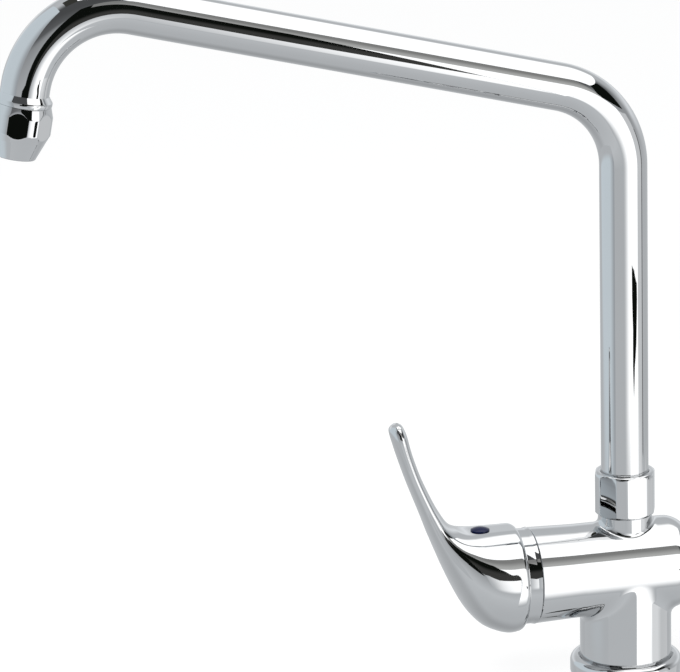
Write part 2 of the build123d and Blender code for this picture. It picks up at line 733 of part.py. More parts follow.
def grub_screw():
    """Hexagon socket screw that holds the lever on the spindle."""
    bottom = grub_bottom() + GRUB_R * tan(radians(SPINDLE_TILT_DEG))
    screw = rod(GRUB_R, bottom, bottom + GRUB_LENGTH)
    screw -= hexagon(GRUB_KEY_AF, bottom + GRUB_LENGTH - GRUB_KEY_DEPTH, bottom + GRUB_LENGTH)
    return Pos(0, -BUTTON_S, 0) * screw


def index_button():
    """Domed plug over the screw that shows hot and cold."""
    deck = BARREL_Z + DECK_RISE
    ball_r = (BUTTON_R**2 + BUTTON_DOME**2) / (2 * BUTTON_DOME)
    plug = rod(BUTTON_R, deck - BUTTON_DEPTH, deck + BUTTON_DOME)
    plug &= Pos(0, 0, deck + BUTTON_DOME - ball_r) * Sphere(ball_r)
    return Pos(0, -BUTTON_S, 0) * plug


PIECES = {
    "tap_body": tap_body,
    "base_flange": base_flange,
    "base_gasket": base_gasket,
    "fixing_stud": fixing_stud,
    "fixing_pad": lambda: horseshoe(-WORKTOP_T, PAD_T),
    "fixing_bracket": lambda: horseshoe(-WORKTOP_T - PAD_T, BRACKET_T),
    "fixing_nut": fixing_nut,
    "spout_nut": spout_nut,
    "slip_ring": slip_ring,
    "spout_tube": spout_tube,
    "spout_tail": spout_tail,
    "tail_o_rings": tail_o_rings,
    "outlet_ferrule": outlet_ferrule,
    "aerator_housing": aerator_housing,
    "aerator_washer": aerator_washer,
    "aerator_insert": aerator_insert,
    "aerator_screen": aerator_screen,
    "cartridge_base": cartridge_base,
    "port_seals": port_seals,
    "fixed_disc": fixed_disc,
    "moving_disc": moving_disc,
    "disc_driver": disc_driver,
    "cartridge_housing": cartridge_housing,
    "spindle_turret": spindle_turret,
    "pivot_pin": pivot_pin,
    "spindle": spindle,
    "retaining_nut": retaining_nut,
    "dress_collar": dress_collar,
    "lever": lever,
    "grub_screw": grub_screw,
    "index_button": index_button,
}

os.makedirs("parts", exist_ok=True)
for name, make in PIECES.items():
    piece = make()
    if isinstance(piece, list):
        piece = Compound(piece)
    export_step(piece, f"parts/{name}.step")
    print(name, round(piece.volume), "mm3")
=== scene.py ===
# %% [markdown]
# # A kitchen mixer tap in mirror chrome
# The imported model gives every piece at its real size. A mirror shows each facet of a mesh, so the
# chrome pieces are built again here with fine, smooth surfaces in the same place, and each one takes
# the place of the solid it stands for. The hidden pieces keep their solids and get a finish.

# %% Load the frame
import json
from math import acos, asin, cos, hypot, pi, radians, sin, sqrt, tan, tau

import bmesh
import bpy
import numpy as np
from mathutils import Matrix, Vector


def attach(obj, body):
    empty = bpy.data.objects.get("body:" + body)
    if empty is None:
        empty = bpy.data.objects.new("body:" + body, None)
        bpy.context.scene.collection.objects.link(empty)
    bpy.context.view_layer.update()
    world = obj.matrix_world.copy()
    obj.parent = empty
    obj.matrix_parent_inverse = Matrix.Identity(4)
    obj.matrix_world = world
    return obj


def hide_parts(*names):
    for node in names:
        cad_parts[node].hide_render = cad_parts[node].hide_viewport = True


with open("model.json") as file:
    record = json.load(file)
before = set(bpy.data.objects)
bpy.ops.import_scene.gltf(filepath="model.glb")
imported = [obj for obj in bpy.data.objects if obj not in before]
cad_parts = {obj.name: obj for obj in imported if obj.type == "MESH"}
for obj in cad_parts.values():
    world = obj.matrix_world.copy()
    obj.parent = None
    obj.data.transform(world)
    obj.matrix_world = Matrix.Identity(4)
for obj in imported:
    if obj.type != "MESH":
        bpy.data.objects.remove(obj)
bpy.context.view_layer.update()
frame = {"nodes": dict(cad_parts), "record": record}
scene = bpy.context.scene
scene.view_settings.view_transform = "Standard"
MM = 0.001

# %% [markdown]
# ## The camera
# The photograph is a long lens view from the cold water side, a little in front and above, with the
# camera turned slightly about its own axis. The lens and the place were solved from the tube's
# straight edges, so the render lies on the photograph. A camera object looks along its -Z.

# %% Camera
CAMERA_PLACE = Vector((2.11097, -0.66496, 0.79764))
CAMERA_AHEAD = Vector((-0.9326, 0.2343, -0.2746)).normalized()
CAMERA_ROLL_DEG = -1.216
LENS_PIXELS = 5000
PHOTO_WIDTH = 680
SENSOR_MM = 36

camera_data = bpy.data.cameras.new("camera")
camera_data.sensor_width = SENSOR_MM
camera_data.lens = LENS_PIXELS / PHOTO_WIDTH * SENSOR_MM
camera = bpy.data.objects.new("camera", camera_data)
level_right = CAMERA_AHEAD.cross(Vector((0, 0, 1))).normalized()
level_up = level_right.cross(CAMERA_AHEAD)
roll = radians(CAMERA_ROLL_DEG)
camera_right = level_right * cos(roll) + level_up * sin(roll)
camera_up = level_up * cos(roll) - level_right * sin(roll)
turn = Matrix((camera_right, camera_up, -CAMERA_AHEAD)).transposed()
camera.matrix_world = Matrix.Translation(CAMERA_PLACE) @ turn.to_4x4()
scene.collection.objects.link(camera)
scene.camera = camera
print("lens", round(camera_data.lens, 1), "mm")

# %% [markdown]
# ## Small tools for smooth meshes
# Most pieces of a tap are turned on a lathe, so one tool spins an outline of radius and height into
# rings of points, and another lays faces over the rings. Rounded corners are arcs in the outline:
# a real edge is never quite sharp, and the arc catches a thin highlight.

# %% Rings and skins
SEGMENTS = 192
ROUND_STEPS = 8
SHARP_DEG = 32
JOIN_GAP = 0.001


def rounded(corners, rounds, steps=ROUND_STEPS):
    """A closed outline whose numbered corners become arcs of the given radius."""
    outline = []
    for number, corner in enumerate(corners):
        here = np.array(corner, float)
        if number not in rounds:
            outline.append(here)
            continue
        back = np.array(corners[number - 1], float) - here
        ahead = np.array(corners[(number + 1) % len(corners)], float) - here
        back /= np.linalg.norm(back)
        ahead /= np.linalg.norm(ahead)
        half = acos(back @ ahead) / 2
        centre = here + (back + ahead) / np.linalg.norm(back + ahead) * rounds[number] / sin(half)
        start = here + back * rounds[number] / tan(half) - centre
        end = here + ahead * rounds[number] / tan(half) - centre
        swing = pi - 2 * half
        for share in np.linspace(0, 1, steps + 1):
            mixed = start * sin((1 - share) * swing) + end * sin(share * swing)
            outline.append(centre + mixed / sin(swing))
    return np.array(outline)


def divided(outline, step):
    """The same closed outline with extra points, so that no stretch is longer than step."""
    points = []
    for here, ahead in zip(outline, np.roll(outline, -1, axis=0)):
        parts = max(1, int(np.ceil(np.linalg.norm(ahead - here) / step)))
        points += [here + (ahead - here) * part / parts for part in range(parts)]
    return np.array(points)


def turned(outline, segments=SEGMENTS):
    """Rings of points from an outline of (radius, height), spun about Z."""
    angle = np.linspace(0, tau, segments, endpoint=False)
    radius = outline[:, :1]
    height = np.repeat(outline[:, 1:], segments, axis=1)
    return np.stack([radius * np.cos(angle), radius * np.sin(angle), height], axis=-1)


def skin(rings, loop=True):
    """Four sided faces over rings of points; loop joins the last ring to the first."""
    rows, columns = rings.shape[:2]
    row = np.arange(rows if loop else rows - 1)[:, None]
    column = np.arange(columns)[None, :]
    after = (column + 1) % columns
    here = row * columns
    below = (row + 1) % rows * columns
    quads = [here + column, here + after, below + after, below + column]
    return np.stack(quads, axis=-1).reshape(-1, 4).tolist()


def mesh_object(name, points, faces):
    """A mesh in the scene from points in millimetres, with doubled points joined and faces outward."""
    mesh = bpy.data.meshes.new(name)
    mesh.from_pydata((np.reshape(points, (-1, 3)) * MM).tolist(), [], faces)
    work = bmesh.new()
    work.from_mesh(mesh)
    bmesh.ops.remove_doubles(work, verts=work.verts, dist=JOIN_GAP * MM)
    bmesh.ops.recalc_face_normals(work, faces=work.faces)
    work.to_mesh(mesh)
    work.free()
    obj = bpy.data.objects.new(name, mesh)
    scene.collection.objects.link(obj)
    return obj


def smooth(obj):
    """Smooth shading that breaks at real edges."""
    obj.data.shade_smooth()
    obj.data.set_sharp_from_angle(angle=radians(SHARP_DEG))


def baked(obj):
    """Turn the result of an object's modifiers into its own mesh."""
    depsgraph = bpy.context.evaluated_depsgraph_get()
    result = bpy.data.meshes.new_from_object(obj.evaluated_get(depsgraph))
    obj.modifiers.clear()
    obj.data = result


def cut_away(obj, cutters):
    """Cut each cutter out of an object and throw the cutters away."""
    for cutter in cutters:
        knife = obj.modifiers.new("cut", "BOOLEAN")
        knife.operation = "DIFFERENCE"
        knife.solver = "EXACT"
        knife.object = cutter
        baked(obj)
        bpy.data.objects.remove(cutter)


def fit_in(obj, body, node, material):
    """The new piece rides on a body, stands for a node and takes its finish."""
    obj.data.materials.clear()
    obj.data.materials.append(material)
    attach(obj, body)
    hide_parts(node)
    print(obj.name, len(obj.data.polygons), "faces")


# %% [markdown]
# ## Finishes
# Chrome plate is a mirror, so its colour comes from what stands around it. Two things keep it from
# looking like a computer's mirror: the metal under the plate is a little wavy, and the polish is not
# equally bright everywhere. Every chrome piece needs both, so they are one node group, placed in each
# material with its own scale. The duller finishes share a second group, a fine grain. A group only
# puts out values, and the shader stays in the material.

# %% Node helpers
NOISE_LOW = 0.3
NOISE_HIGH = 0.7


def new_group(name, inputs, outputs):
    """A shader node group with float inputs (name, value) and named outputs."""
    group = bpy.data.node_groups.new(name, "ShaderNodeTree")
    for label, value in inputs:
        socket = group.interface.new_socket(label, in_out="INPUT", socket_type="NodeSocketFloat")
        socket.default_value = value
    for label, kind in outputs:
        group.interface.new_socket(label, in_out="OUTPUT", socket_type=kind)
    return group, group.nodes.new("NodeGroupInput"), group.nodes.new("NodeGroupOutput")


def noise(tree, scale, detail, place):
    """A noise texture on a point socket, with a scale that may be a socket or a number."""
    node = tree.nodes.new("ShaderNodeTexNoise")
    node.inputs["Detail"].default_value = detail
    tree.links.new(place, node.inputs["Vector"])
    if isinstance(scale, (int, float)):
        node.inputs["Scale"].default_value = scale
    else:
        tree.links.new(scale, node.inputs["Scale"])
    return node


def spread(tree, value, low, high):
    """Spread the middle of a noise socket's range over the span between two other sockets."""
    node = tree.nodes.new("ShaderNodeMapRange")
    node.interpolation_type = "SMOOTHSTEP"
    node.inputs["From Min"].default_value = NOISE_LOW
    node.inputs["From Max"].default_value = NOISE_HIGH
    tree.links.new(value, node.inputs["Value"])
    tree.links.new(low, node.inputs["To Min"])
    tree.links.new(high, node.inputs["To Max"])
    return node.outputs["Result"]


# %% Group: polish
CLOUD_DETAIL = 4
WAVE_DETAIL = 1
polish, polish_in, polish_out = new_group(
    "polish",
    [("Scale", 40), ("Bright Roughness", 0.02), ("Dull Roughness", 0.06), ("Wave Scale", 30)],
    [("Roughness", "NodeSocketFloat"), ("Wave", "NodeSocketFloat"), ("Cloud", "NodeSocketFloat")],
)
polish_place = polish.nodes.new("ShaderNodeTexCoord").outputs["Object"]
cloud = noise(polish, polish_in.outputs["Scale"], CLOUD_DETAIL, polish_place)
wave = noise(polish, polish_in.outputs["Wave Scale"], WAVE_DETAIL, polish_place)
polish_roughness = spread(
    polish, cloud.outputs["Fac"], polish_in.outputs["Bright Roughness"], polish_in.outputs["Dull Roughness"]
)
polish.links.new(polish_roughness, polish_out.inputs["Roughness"])
polish.links.new(wave.outputs["Fac"], polish_out.inputs["Wave"])
polish.links.new(cloud.outputs["Fac"], polish_out.inputs["Cloud"])
print("group", polish.name)

# %% Group: grain
FINE_DETAIL = 3
BROAD_SCALE = 60
BROAD_DETAIL = 2
grain, grain_in, grain_out = new_group(
    "grain",
    [("Scale", 900), ("Low Roughness", 0.4), ("High Roughness", 0.6)],
    [("Roughness", "NodeSocketFloat"), ("Height", "NodeSocketFloat"), ("Cloud", "NodeSocketFloat")],
)
grain_place = grain.nodes.new("ShaderNodeTexCoord").outputs["Object"]
fine = noise(grain, grain_in.outputs["Scale"], FINE_DETAIL, grain_place)
broad = noise(grain, BROAD_SCALE, BROAD_DETAIL, grain_place)
grain_roughness = spread(
    grain, fine.outputs["Fac"], grain_in.outputs["Low Roughness"], grain_in.outputs["High Roughness"]
)
grain.links.new(grain_roughness, grain_out.inputs["Roughness"])
grain.links.new(fine.outputs["Fac"], grain_out.inputs["Height"])
grain.links.new(broad.outputs["Fac"], grain_out.inputs["Cloud"])
print("group", grain.name)

# %% Materials from the two groups
CHROME_POLISH = {"Scale": 35, "Bright Roughness": 0.012, "Dull Roughness": 0.035}
CHROME_TINTS = ((0.61, 0.617, 0.624), (0.635, 0.642, 0.648))


def material_with(name, group, values, height, depth, colours, metallic=0.0):
    """A principled material whose roughness, bump and tint come from a group; depth is in millimetres."""
    material = bpy.data.materials.new(name)
    material.use_nodes = True
    tree = material.node_tree
    shader = tree.nodes["Principled BSDF"]
    shader.inputs["Metallic"].default_value = metallic
    used = tree.nodes.new("ShaderNodeGroup")
    used.node_tree = group
    for label, value in values.items():
        used.inputs[label].default_value = value
    tint = tree.nodes.new("ShaderNodeMix")
    tint.data_type = "RGBA"
    tint.inputs["A"].default_value = (*colours[0], 1)
    tint.inputs["B"].default_value = (*colours[1], 1)
    bump = tree.nodes.new("ShaderNodeBump")
    bump.inputs["Distance"].default_value = depth * MM
    tree.links.new(used.outputs["Cloud"], tint.inputs["Factor"])
    tree.links.new(tint.outputs["Result"], shader.inputs["Base Color"])
    tree.links.new(used.outputs["Roughness"], shader.inputs["Roughness"])
    tree.links.new(used.outputs[height], bump.inputs["Height"])
    tree.links.new(bump.outputs["Normal"], shader.inputs["Normal"])
    return material


def chrome(name, wave_scale, wave_depth):
    """Mirror chrome over metal with a slow wave left by casting, bending or turning."""
    values = {**CHROME_POLISH, "Wave Scale": wave_scale}
    return material_with(name, polish, values, "Wave", wave_depth, CHROME_TINTS, metallic=1.0)


def grained(name, colours, roughness, scale, depth, metallic=0.0):
    """A duller finish with a fine grain: rubber, plastic, zinc or raw brass."""
    values = {"Scale": scale, "Low Roughness": roughness[0], "High Roughness": roughness[1]}
    return material_with(name, grain, values, "Height", depth, colours, metallic)


cast_chrome = chrome("cast_chrome", wave_scale=28, wave_depth=0.3)
tube_chrome = chrome("tube_chrome", wave_scale=14, wave_depth=0.12)
turned_chrome = chrome("turned_chrome", wave_scale=40, wave_depth=0.05)
raw_brass = grained(
    "raw_brass", ((0.74, 0.55, 0.25), (0.80, 0.63, 0.33)),
    roughness=(0.22, 0.36), scale=700, depth=0.01, metallic=1.0,
)
zinc = grained(
    "zinc", ((0.60, 0.61, 0.60), (0.70, 0.71, 0.72)),
    roughness=(0.25, 0.42), scale=500, depth=0.01, metallic=1.0,
)
stainless = grained(
    "stainless", ((0.56, 0.56, 0.57), (0.64, 0.64, 0.65)),
    roughness=(0.18, 0.30), scale=900, depth=0.005, metallic=1.0,
)
rubber = grained(
    "rubber", ((0.018, 0.018, 0.019), (0.035, 0.035, 0.036)),
    roughness=(0.55, 0.75), scale=1400, depth=0.03,
)
white_plastic = grained(
    "white_plastic", ((0.74, 0.74, 0.71), (0.80, 0.80, 0.78)),
    roughness=(0.35, 0.5), scale=1200, depth=0.01,
)
grey_plastic = grained(
    "grey_plastic", ((0.10, 0.105, 0.11), (0.14, 0.145, 0.15)),
    roughness=(0.35, 0.5), scale=1200, depth=0.01,
)
ceramic = grained(
    "ceramic", ((0.86, 0.85, 0.80), (0.90, 0.89, 0.86)),
    roughness=(0.10, 0.18), scale=2000, depth=0.002,
)
print(len(bpy.data.materials), "materials")

# %% [markdown]
# ## Sizes that the chrome pieces share
# These are the model's own sizes in millimetres. "Forward" is -Y, the way the lever and the spout
# reach, and a piece of the barrel is turned upright first and then laid forward.

# %% Shared sizes and frames
BARREL_Z = 52.7
BARREL_R = 21.75
BARREL_FRONT = 46.5
STEM_R = 21.3
STEM_FOOT = 2.0
BOSS_TOP = 78.65
NECK_R = 12.0
TUBE_R = 11.0
TUBE_WALL = 1.0
SPOUT_CORNER_Z = 276.1
SPOUT_RISE = radians(14.3)
SPOUT_RUN = 275.3
OUTLET_LEAN = radians(10.7)
UPPER_CORNER = (SPOUT_RUN * cos(SPOUT_RISE), SPOUT_CORNER_Z + SPOUT_RUN * sin(SPOUT_RISE))


def laid_forward(rings):
    """Lay pieces that were turned upright along the barrel."""
    x, y, z = np.moveaxis(rings, -1, 0)
    return np.stack([x, -z, BARREL_Z + y], axis=-1)


def on_outlet(rings):
    """Hang pieces that were turned upright on the leaning end of the spout."""
    x, y, z = np.moveaxis(rings, -1, 0)
    forward = UPPER_CORNER[0] + y * cos(OUTLET_LEAN) + z * sin(OUTLET_LEAN)
    height = UPPER_CORNER[1] + y * sin(OUTLET_LEAN) - z * cos(OUTLET_LEAN)
    return np.stack([x, -forward, height], axis=-1)


print("spout reaches", round(UPPER_CORNER[0]), "mm forward and", round(UPPER_CORNER[1]), "mm up")

# %% [markdown]
# ## The cast body
# The body is one brass casting: an upright stem, a barrel across it and a boss on top, with soft
# fillets where they meet. Joining cylinders with a Boolean gives hard creases, and a bevel on such
# curved creases tears easily. So the body is first a rough voxel mesh of the three forms. Then every
# point slides on to the exact surface, which is a distance formula with round fillets in it. At the
# flanks the barrel and the stem lie almost side by side, and there the fillet is much softer.

# %% Distance formula of the body
BARREL_MOUTH_R = 22.4
BARREL_BACK = -31.0
CAST_FILLET = 3.0
FLANK_SOFTENING = 14.0
BOSS_R = 12.6
BOSS_FILLET = 2.5
BARREL_END_ROUND = 12.0
FLARE_START = 25.0
SLOPE_STEP = 0.01
LEAST_SLOPE = 0.25
SETTLE_ROUNDS = 8
TINY = 1e-6


def filleted(first, second, likeness, radius):
    """Join two distances with a fillet; likeness is the cosine between their slopes."""
    a = first - radius
    b = second - radius
    spread_out = np.maximum(1 - likeness**2, TINY)
    away = np.sqrt(np.maximum(a**2 + b**2 - 2 * likeness * a * b, 0) / spread_out)
    between = (a - likeness * b < 0) & (b - likeness * a < 0)
    return np.where(between, radius - away, np.minimum(first, second))


def body_distance(points):
    """Distance from the body's outer surface, in millimetres, less than zero inside."""
    x, y, z = points.T
    forward = -y
    across = np.maximum(np.hypot(x, z - BARREL_Z), TINY)
    around = np.maximum(np.hypot(x, y), TINY)
    flare = np.clip((forward - FLARE_START) / (BARREL_FRONT - FLARE_START), 0, None)
    side = across - BARREL_R - (BARREL_MOUTH_R - BARREL_R) * flare + BARREL_END_ROUND
    back = BARREL_BACK - forward + BARREL_END_ROUND
    corner = np.hypot(np.maximum(side, 0), np.maximum(back, 0))
    barrel = np.minimum(np.maximum(side, back), 0) + corner - BARREL_END_ROUND
    stem = np.maximum(around - STEM_R, z - BARREL_Z)
    boss = np.maximum(around - BOSS_R, BARREL_Z - z)
    likeness = x**2 / (across * around)
    cast = filleted(barrel, stem, likeness, CAST_FILLET + FLANK_SOFTENING * likeness**2)
    return filleted(cast, boss, likeness, BOSS_FILLET)


def settled(points, distance):
    """Slide points on to the surface where a distance formula is zero."""
    for _ in range(SETTLE_ROUNDS):
        here = distance(points)
        ways = np.eye(3) * SLOPE_STEP
        slope = np.stack([distance(points + way) - distance(points - way) for way in ways], axis=-1)
        slope /= 2 * SLOPE_STEP
        steep = np.maximum((slope**2).sum(axis=-1), LEAST_SLOPE)
        points = points - (here / steep)[:, None] * slope
    return points


# %% Rough body, settled on the formula
NECK_TOP = 93.0
VOXEL = 0.7
SPARE = 4.0


def drum(radius, bottom, top, segments=SEGMENTS):
    """Rings of a plain closed cylinder on Z."""
    return turned(np.array([(0, bottom), (radius, bottom), (radius, top), (0, top)]), segments)


long_end = BARREL_FRONT + SPARE
barrel_corners = [(0, BARREL_BACK), (BARREL_R, BARREL_BACK), (BARREL_R, long_end), (0, long_end)]
barrel_outline = divided(rounded(barrel_corners, {1: BARREL_END_ROUND}), SPARE)
rough_forms = [
    laid_forward(turned(barrel_outline)),
    drum(STEM_R, STEM_FOOT - SPARE, BARREL_Z),
    drum(BOSS_R, BARREL_Z, NECK_TOP + SPARE),
]
points, faces = [], []
for form in rough_forms:
    faces += [[corner + len(points) for corner in face] for face in skin(form)]
    points += form.reshape(-1, 3).tolist()
tap_body = mesh_object("body_casting", points, faces)
remesh = tap_body.modifiers.new("remesh", "REMESH")
remesh.mode = "VOXEL"
remesh.voxel_size = VOXEL * MM
baked(tap_body)
spots = np.empty(len(tap_body.data.vertices) * 3)
tap_body.data.vertices.foreach_get("co", spots)
spots = settled(spots.reshape(-1, 3) / MM, body_distance)
tap_body.data.vertices.foreach_set("co", (spots * MM).ravel())
worst = float(np.abs(body_distance(spots)).max())
print("settled", len(spots), "points, worst", round(worst, 4), "mm off")

# %% Cut the body's ends and bores
FAR = 60.0
CHAMBER_R = 17.55
CHAMBER_SEAT = 8.0
THREAD_R = 19.02
THREAD_BACK = 38.55
MOUTH_CHAMFER = 0.8
SOCKET_FLOOR = 72.7
OUTLET_WAY_R = 5.0
OUTLET_WAY_FLOOR = 60.2
INLET_R = 4.5
INLET_TOP = 14.0
INLET_SPOTS = ((8.0, -3.0), (-8.0, -3.0))
STUD_Y = 10.5
STUD_HOLE_R = 4.02
HOLE_SEGMENTS = 48


def cutter(rings):
    """A throwaway object to cut with."""
    return mesh_object("cutter", rings, skin(rings))


mouth_edge = BARREL_FRONT - 2 * MOUTH_CHAMFER
mouth = np.array([
    (BARREL_MOUTH_R - MOUTH_CHAMFER, BARREL_FRONT), (BARREL_MOUTH_R + MOUTH_CHAMFER, mouth_edge),
    (FAR, mouth_edge), (FAR, FAR + SPARE), (0, FAR + SPARE), (0, CHAMBER_SEAT),
    (CHAMBER_R, CHAMBER_SEAT), (CHAMBER_R, THREAD_BACK), (THREAD_R, THREAD_BACK), (THREAD_R, BARREL_FRONT),
])
neck = np.array([
    (NECK_R, BOSS_TOP), (FAR, BOSS_TOP), (FAR, NECK_TOP + 2 * SPARE), (0, NECK_TOP + 2 * SPARE),
    (0, OUTLET_WAY_FLOOR), (OUTLET_WAY_R, OUTLET_WAY_FLOOR), (OUTLET_WAY_R, SOCKET_FLOOR),
    (TUBE_R - TUBE_WALL, SOCKET_FLOOR), (TUBE_R - TUBE_WALL, NECK_TOP), (NECK_R, NECK_TOP),
])
below_foot = STEM_FOOT - SPARE
holes = [drum(INLET_R, below_foot, INLET_TOP, HOLE_SEGMENTS) + (x, y, 0) for x, y in INLET_SPOTS]
holes.append(drum(STUD_HOLE_R, below_foot, INLET_TOP, HOLE_SEGMENTS) + (0, STUD_Y, 0))
foot = drum(FAR, below_foot - SPARE, STEM_FOOT)
cut_away(tap_body, [cutter(rings) for rings in (laid_forward(turned(mouth)), turned(neck), foot, *holes)])
smooth(tap_body)
fit_in(tap_body, "body", "tap_body", cast_chrome)

# %% [markdown]
# ## The spout
# The spout is a drawn tube bent twice over a former, so it is one circle swept along two arcs and
# three straight runs. A curve object with a bevel would do it too. The swept rings are used because
# they follow the model's arcs exactly and close into a real tube with a wall.

# %% Spout tube
BEND_R = 40.0
BEND_STEPS = 56
TUBE_START = 95.05
TUBE_END = 48.6


def spout_path():
    """Points and headings of the tube's centre line, as forward and up."""
    lower_turn = pi / 2 - SPOUT_RISE
    upper_turn = pi / 2 + SPOUT_RISE - OUTLET_LEAN
    lower_cut = BEND_R * tan(lower_turn / 2)
    upper_cut = BEND_R * tan(upper_turn / 2)
    riser = SPOUT_CORNER_Z - lower_cut - TUBE_START
    runs = [riser, SPOUT_RUN - lower_cut - upper_cut, TUBE_END - upper_cut]
    place = np.array([0, TUBE_START])
    heading = pi / 2
    stations = [(place, heading)]
    for run, bend in zip(runs, (lower_turn, upper_turn, 0)):
        place = place + run * np.array([cos(heading), sin(heading)])
        stations.append((place, heading))
        centre = place + BEND_R * np.array([sin(heading), -cos(heading)])
        for step in range(1, BEND_STEPS + 1 if bend else 1):
            now = heading - bend * step / BEND_STEPS
            stations.append((centre + BEND_R * np.array([-sin(now), cos(now)]), now))
        place, heading = stations[-1]
    return stations


def swept(stations, radius):
    """Rings of a round section along a path in the tap's middle plane."""
    angle = np.linspace(0, tau, SEGMENTS, endpoint=False)
    x = radius * np.cos(angle)
    off = radius * np.sin(angle)
    rings = []
    for (forward, height), heading in stations:
        y = -(forward - off * sin(heading))
        z = height + off * cos(heading)
        rings.append(np.stack([x, y, z], axis=-1))
    return np.array(rings)


path = spout_path()
walls = np.concatenate([swept(path, TUBE_R), swept(path[::-1], TUBE_R - TUBE_WALL)])
spout_tube = mesh_object("bent_spout", walls, skin(walls))
smooth(spout_tube)
fit_in(spout_tube, "spout", "spout_tube", tube_chrome)

# %% [markdown]
# ## Nuts with flats
# The union nut and the aerator are round turnings with six flats milled on, so each flat fades into
# the round land between it and the next. The same turned rings are used, and each point is pulled in
# to the flat's plane where the round stands out past it. A soft minimum leaves the slight roll that
# polishing gives such an edge. The nut's top is flat with a small round, which mirrors the whole room
# in a few thin lines.

# %% Spout nut
FLATS = 6
FLAT_SEGMENTS = 480
FLAT_STEP = 0.4
FLAT_ROLL = 0.12
NUT_R = 14.3
NUT_ACROSS = 27.0
NUT_TOP = 99.5
NUT_FLAT_DEG = 8.0
NUT_CHAMFER = 1.4
NUT_FOOT_ROUND = 0.6
NUT_SHOULDER = 1.6
EDGE_ROUND = 0.3
NUT_LIP = 3.3
SEAT_GAP = 0.02
RUN_GAP = 0.05


def soft_min(first, second, roll):
    """The smaller of two values, rounded over where they cross."""
    share = np.clip(0.5 + 0.5 * (second - first) / roll, 0, 1)
    return second + (first - second) * share - roll * share * (1 - share)


def with_flats(rings, across, facing_deg):
    """Pull turned rings in to flats, one of which faces the given way."""
    radius = np.hypot(rings[..., 0], rings[..., 1])
    angle = np.arctan2(rings[..., 1], rings[..., 0])
    off = (angle - radians(facing_deg) + pi / FLATS) % (tau / FLATS) - pi / FLATS
    kept = soft_min(radius, across / 2 / np.cos(off), FLAT_ROLL)
    flat = rings.copy()
    flat[..., :2] *= (kept / radius)[..., None]
    return flat


nut_bore = TUBE_R + RUN_GAP
lip_z = NUT_TOP - NUT_LIP
nut_outline = rounded(
    [
        (NECK_R + SEAT_GAP, BOSS_TOP + SEAT_GAP), (NUT_R - NUT_CHAMFER, BOSS_TOP + SEAT_GAP),
        (NUT_R, BOSS_TOP + NUT_CHAMFER), (NUT_R, NUT_TOP), (nut_bore + NUT_CHAMFER / 2, NUT_TOP),
        (nut_bore, NUT_TOP - NUT_CHAMFER / 2), (nut_bore, lip_z), (NECK_R + SEAT_GAP, lip_z),
    ],
    {1: EDGE_ROUND, 2: NUT_FOOT_ROUND, 3: NUT_SHOULDER, 4: EDGE_ROUND},
)
nut_rings = with_flats(turned(divided(nut_outline, FLAT_STEP), FLAT_SEGMENTS), NUT_ACROSS, NUT_FLAT_DEG)
spout_nut = mesh_object("union_nut", nut_rings, skin(nut_rings))
smooth(spout_nut)
fit_in(spout_nut, "body", "spout_nut", turned_chrome)

# %% [markdown]
# ## The outlet
# A ferrule closes the tube's end, and the aerator screws on to it. Both are turned upright like the
# nut and then hung on the leaning end of the spout. The seam between them is two small rounds that
# nearly touch, which draws the fine dark line round the real one.

# %% Ferrule
FERRULE_TOP = 45.0
FERRULE_WIDEST = 48.6
FERRULE_R = 12.9
FERRULE_ROUND = 1.0
SEAM = 49.8
SEAM_R = 12.7
SEAM_ROUND = 0.15
OUTLET_THREAD_R = 11.7
OUTLET_THREAD_END = 58.0
OUTLET_BORE_R = 9.0

ferrule_outline = rounded(
    [
        (TUBE_R + SEAT_GAP, FERRULE_TOP), (FERRULE_R, FERRULE_WIDEST - (FERRULE_R - TUBE_R) / 2),
        (FERRULE_R, FERRULE_WIDEST), (SEAM_R, SEAM), (OUTLET_THREAD_R, SEAM),
        (OUTLET_THREAD_R, OUTLET_THREAD_END), (OUTLET_BORE_R, OUTLET_THREAD_END),
        (OUTLET_BORE_R, TUBE_END), (TUBE_R + SEAT_GAP, TUBE_END),
    ],
    {1: FERRULE_ROUND, 3: SEAM_ROUND},
)
ferrule_rings = on_outlet(turned(ferrule_outline))
ferrule = mesh_object("spout_ferrule", ferrule_rings, skin(ferrule_rings))
smooth(ferrule)
fit_in(ferrule, "spout", "outlet_ferrule", turned_chrome)

# %% Aerator
AERATOR_R = 14.0
AERATOR_ACROSS = 26.4
AERATOR_FLAT_DEG = 16.5
AERATOR_FULL = 54.2
AERATOR_FLATS_END = 62.0
AERATOR_CONE_TOP = 65.4
AERATOR_CONE_R = 12.5
AERATOR_END = 73.9
AERATOR_END_R = 9.0
AERATOR_BORE_R = 7.5
AERATOR_LIP = 1.0
FLATS_ROUND = 1.5
CONE_ROUND = 1.2
CONE_END_ROUND = 0.5
INSERT_R = 8.02
INSERT_SHELF_R = 10.22
WASHER_T = 2.0
SHELF_T = 2.0

shelf = OUTLET_THREAD_END + WASHER_T
aerator_outline = rounded(
    [
        (OUTLET_THREAD_R + SEAT_GAP, SEAM + SEAT_GAP), (SEAM_R, SEAM + SEAT_GAP), (AERATOR_R, AERATOR_FULL),
        (AERATOR_R, AERATOR_FLATS_END), (AERATOR_CONE_R, AERATOR_CONE_TOP), (AERATOR_END_R, AERATOR_END),
        (AERATOR_BORE_R, AERATOR_END), (AERATOR_BORE_R, AERATOR_END - AERATOR_LIP),
        (INSERT_R, AERATOR_END - AERATOR_LIP), (INSERT_R, shelf + SHELF_T),
        (INSERT_SHELF_R, shelf + SHELF_T), (INSERT_SHELF_R, shelf), (OUTLET_THREAD_R + SEAT_GAP, shelf),
    ],
    {1: SEAM_ROUND, 2: FLATS_ROUND, 3: FLATS_ROUND, 4: CONE_ROUND, 5: CONE_END_ROUND, 6: EDGE_ROUND},
)
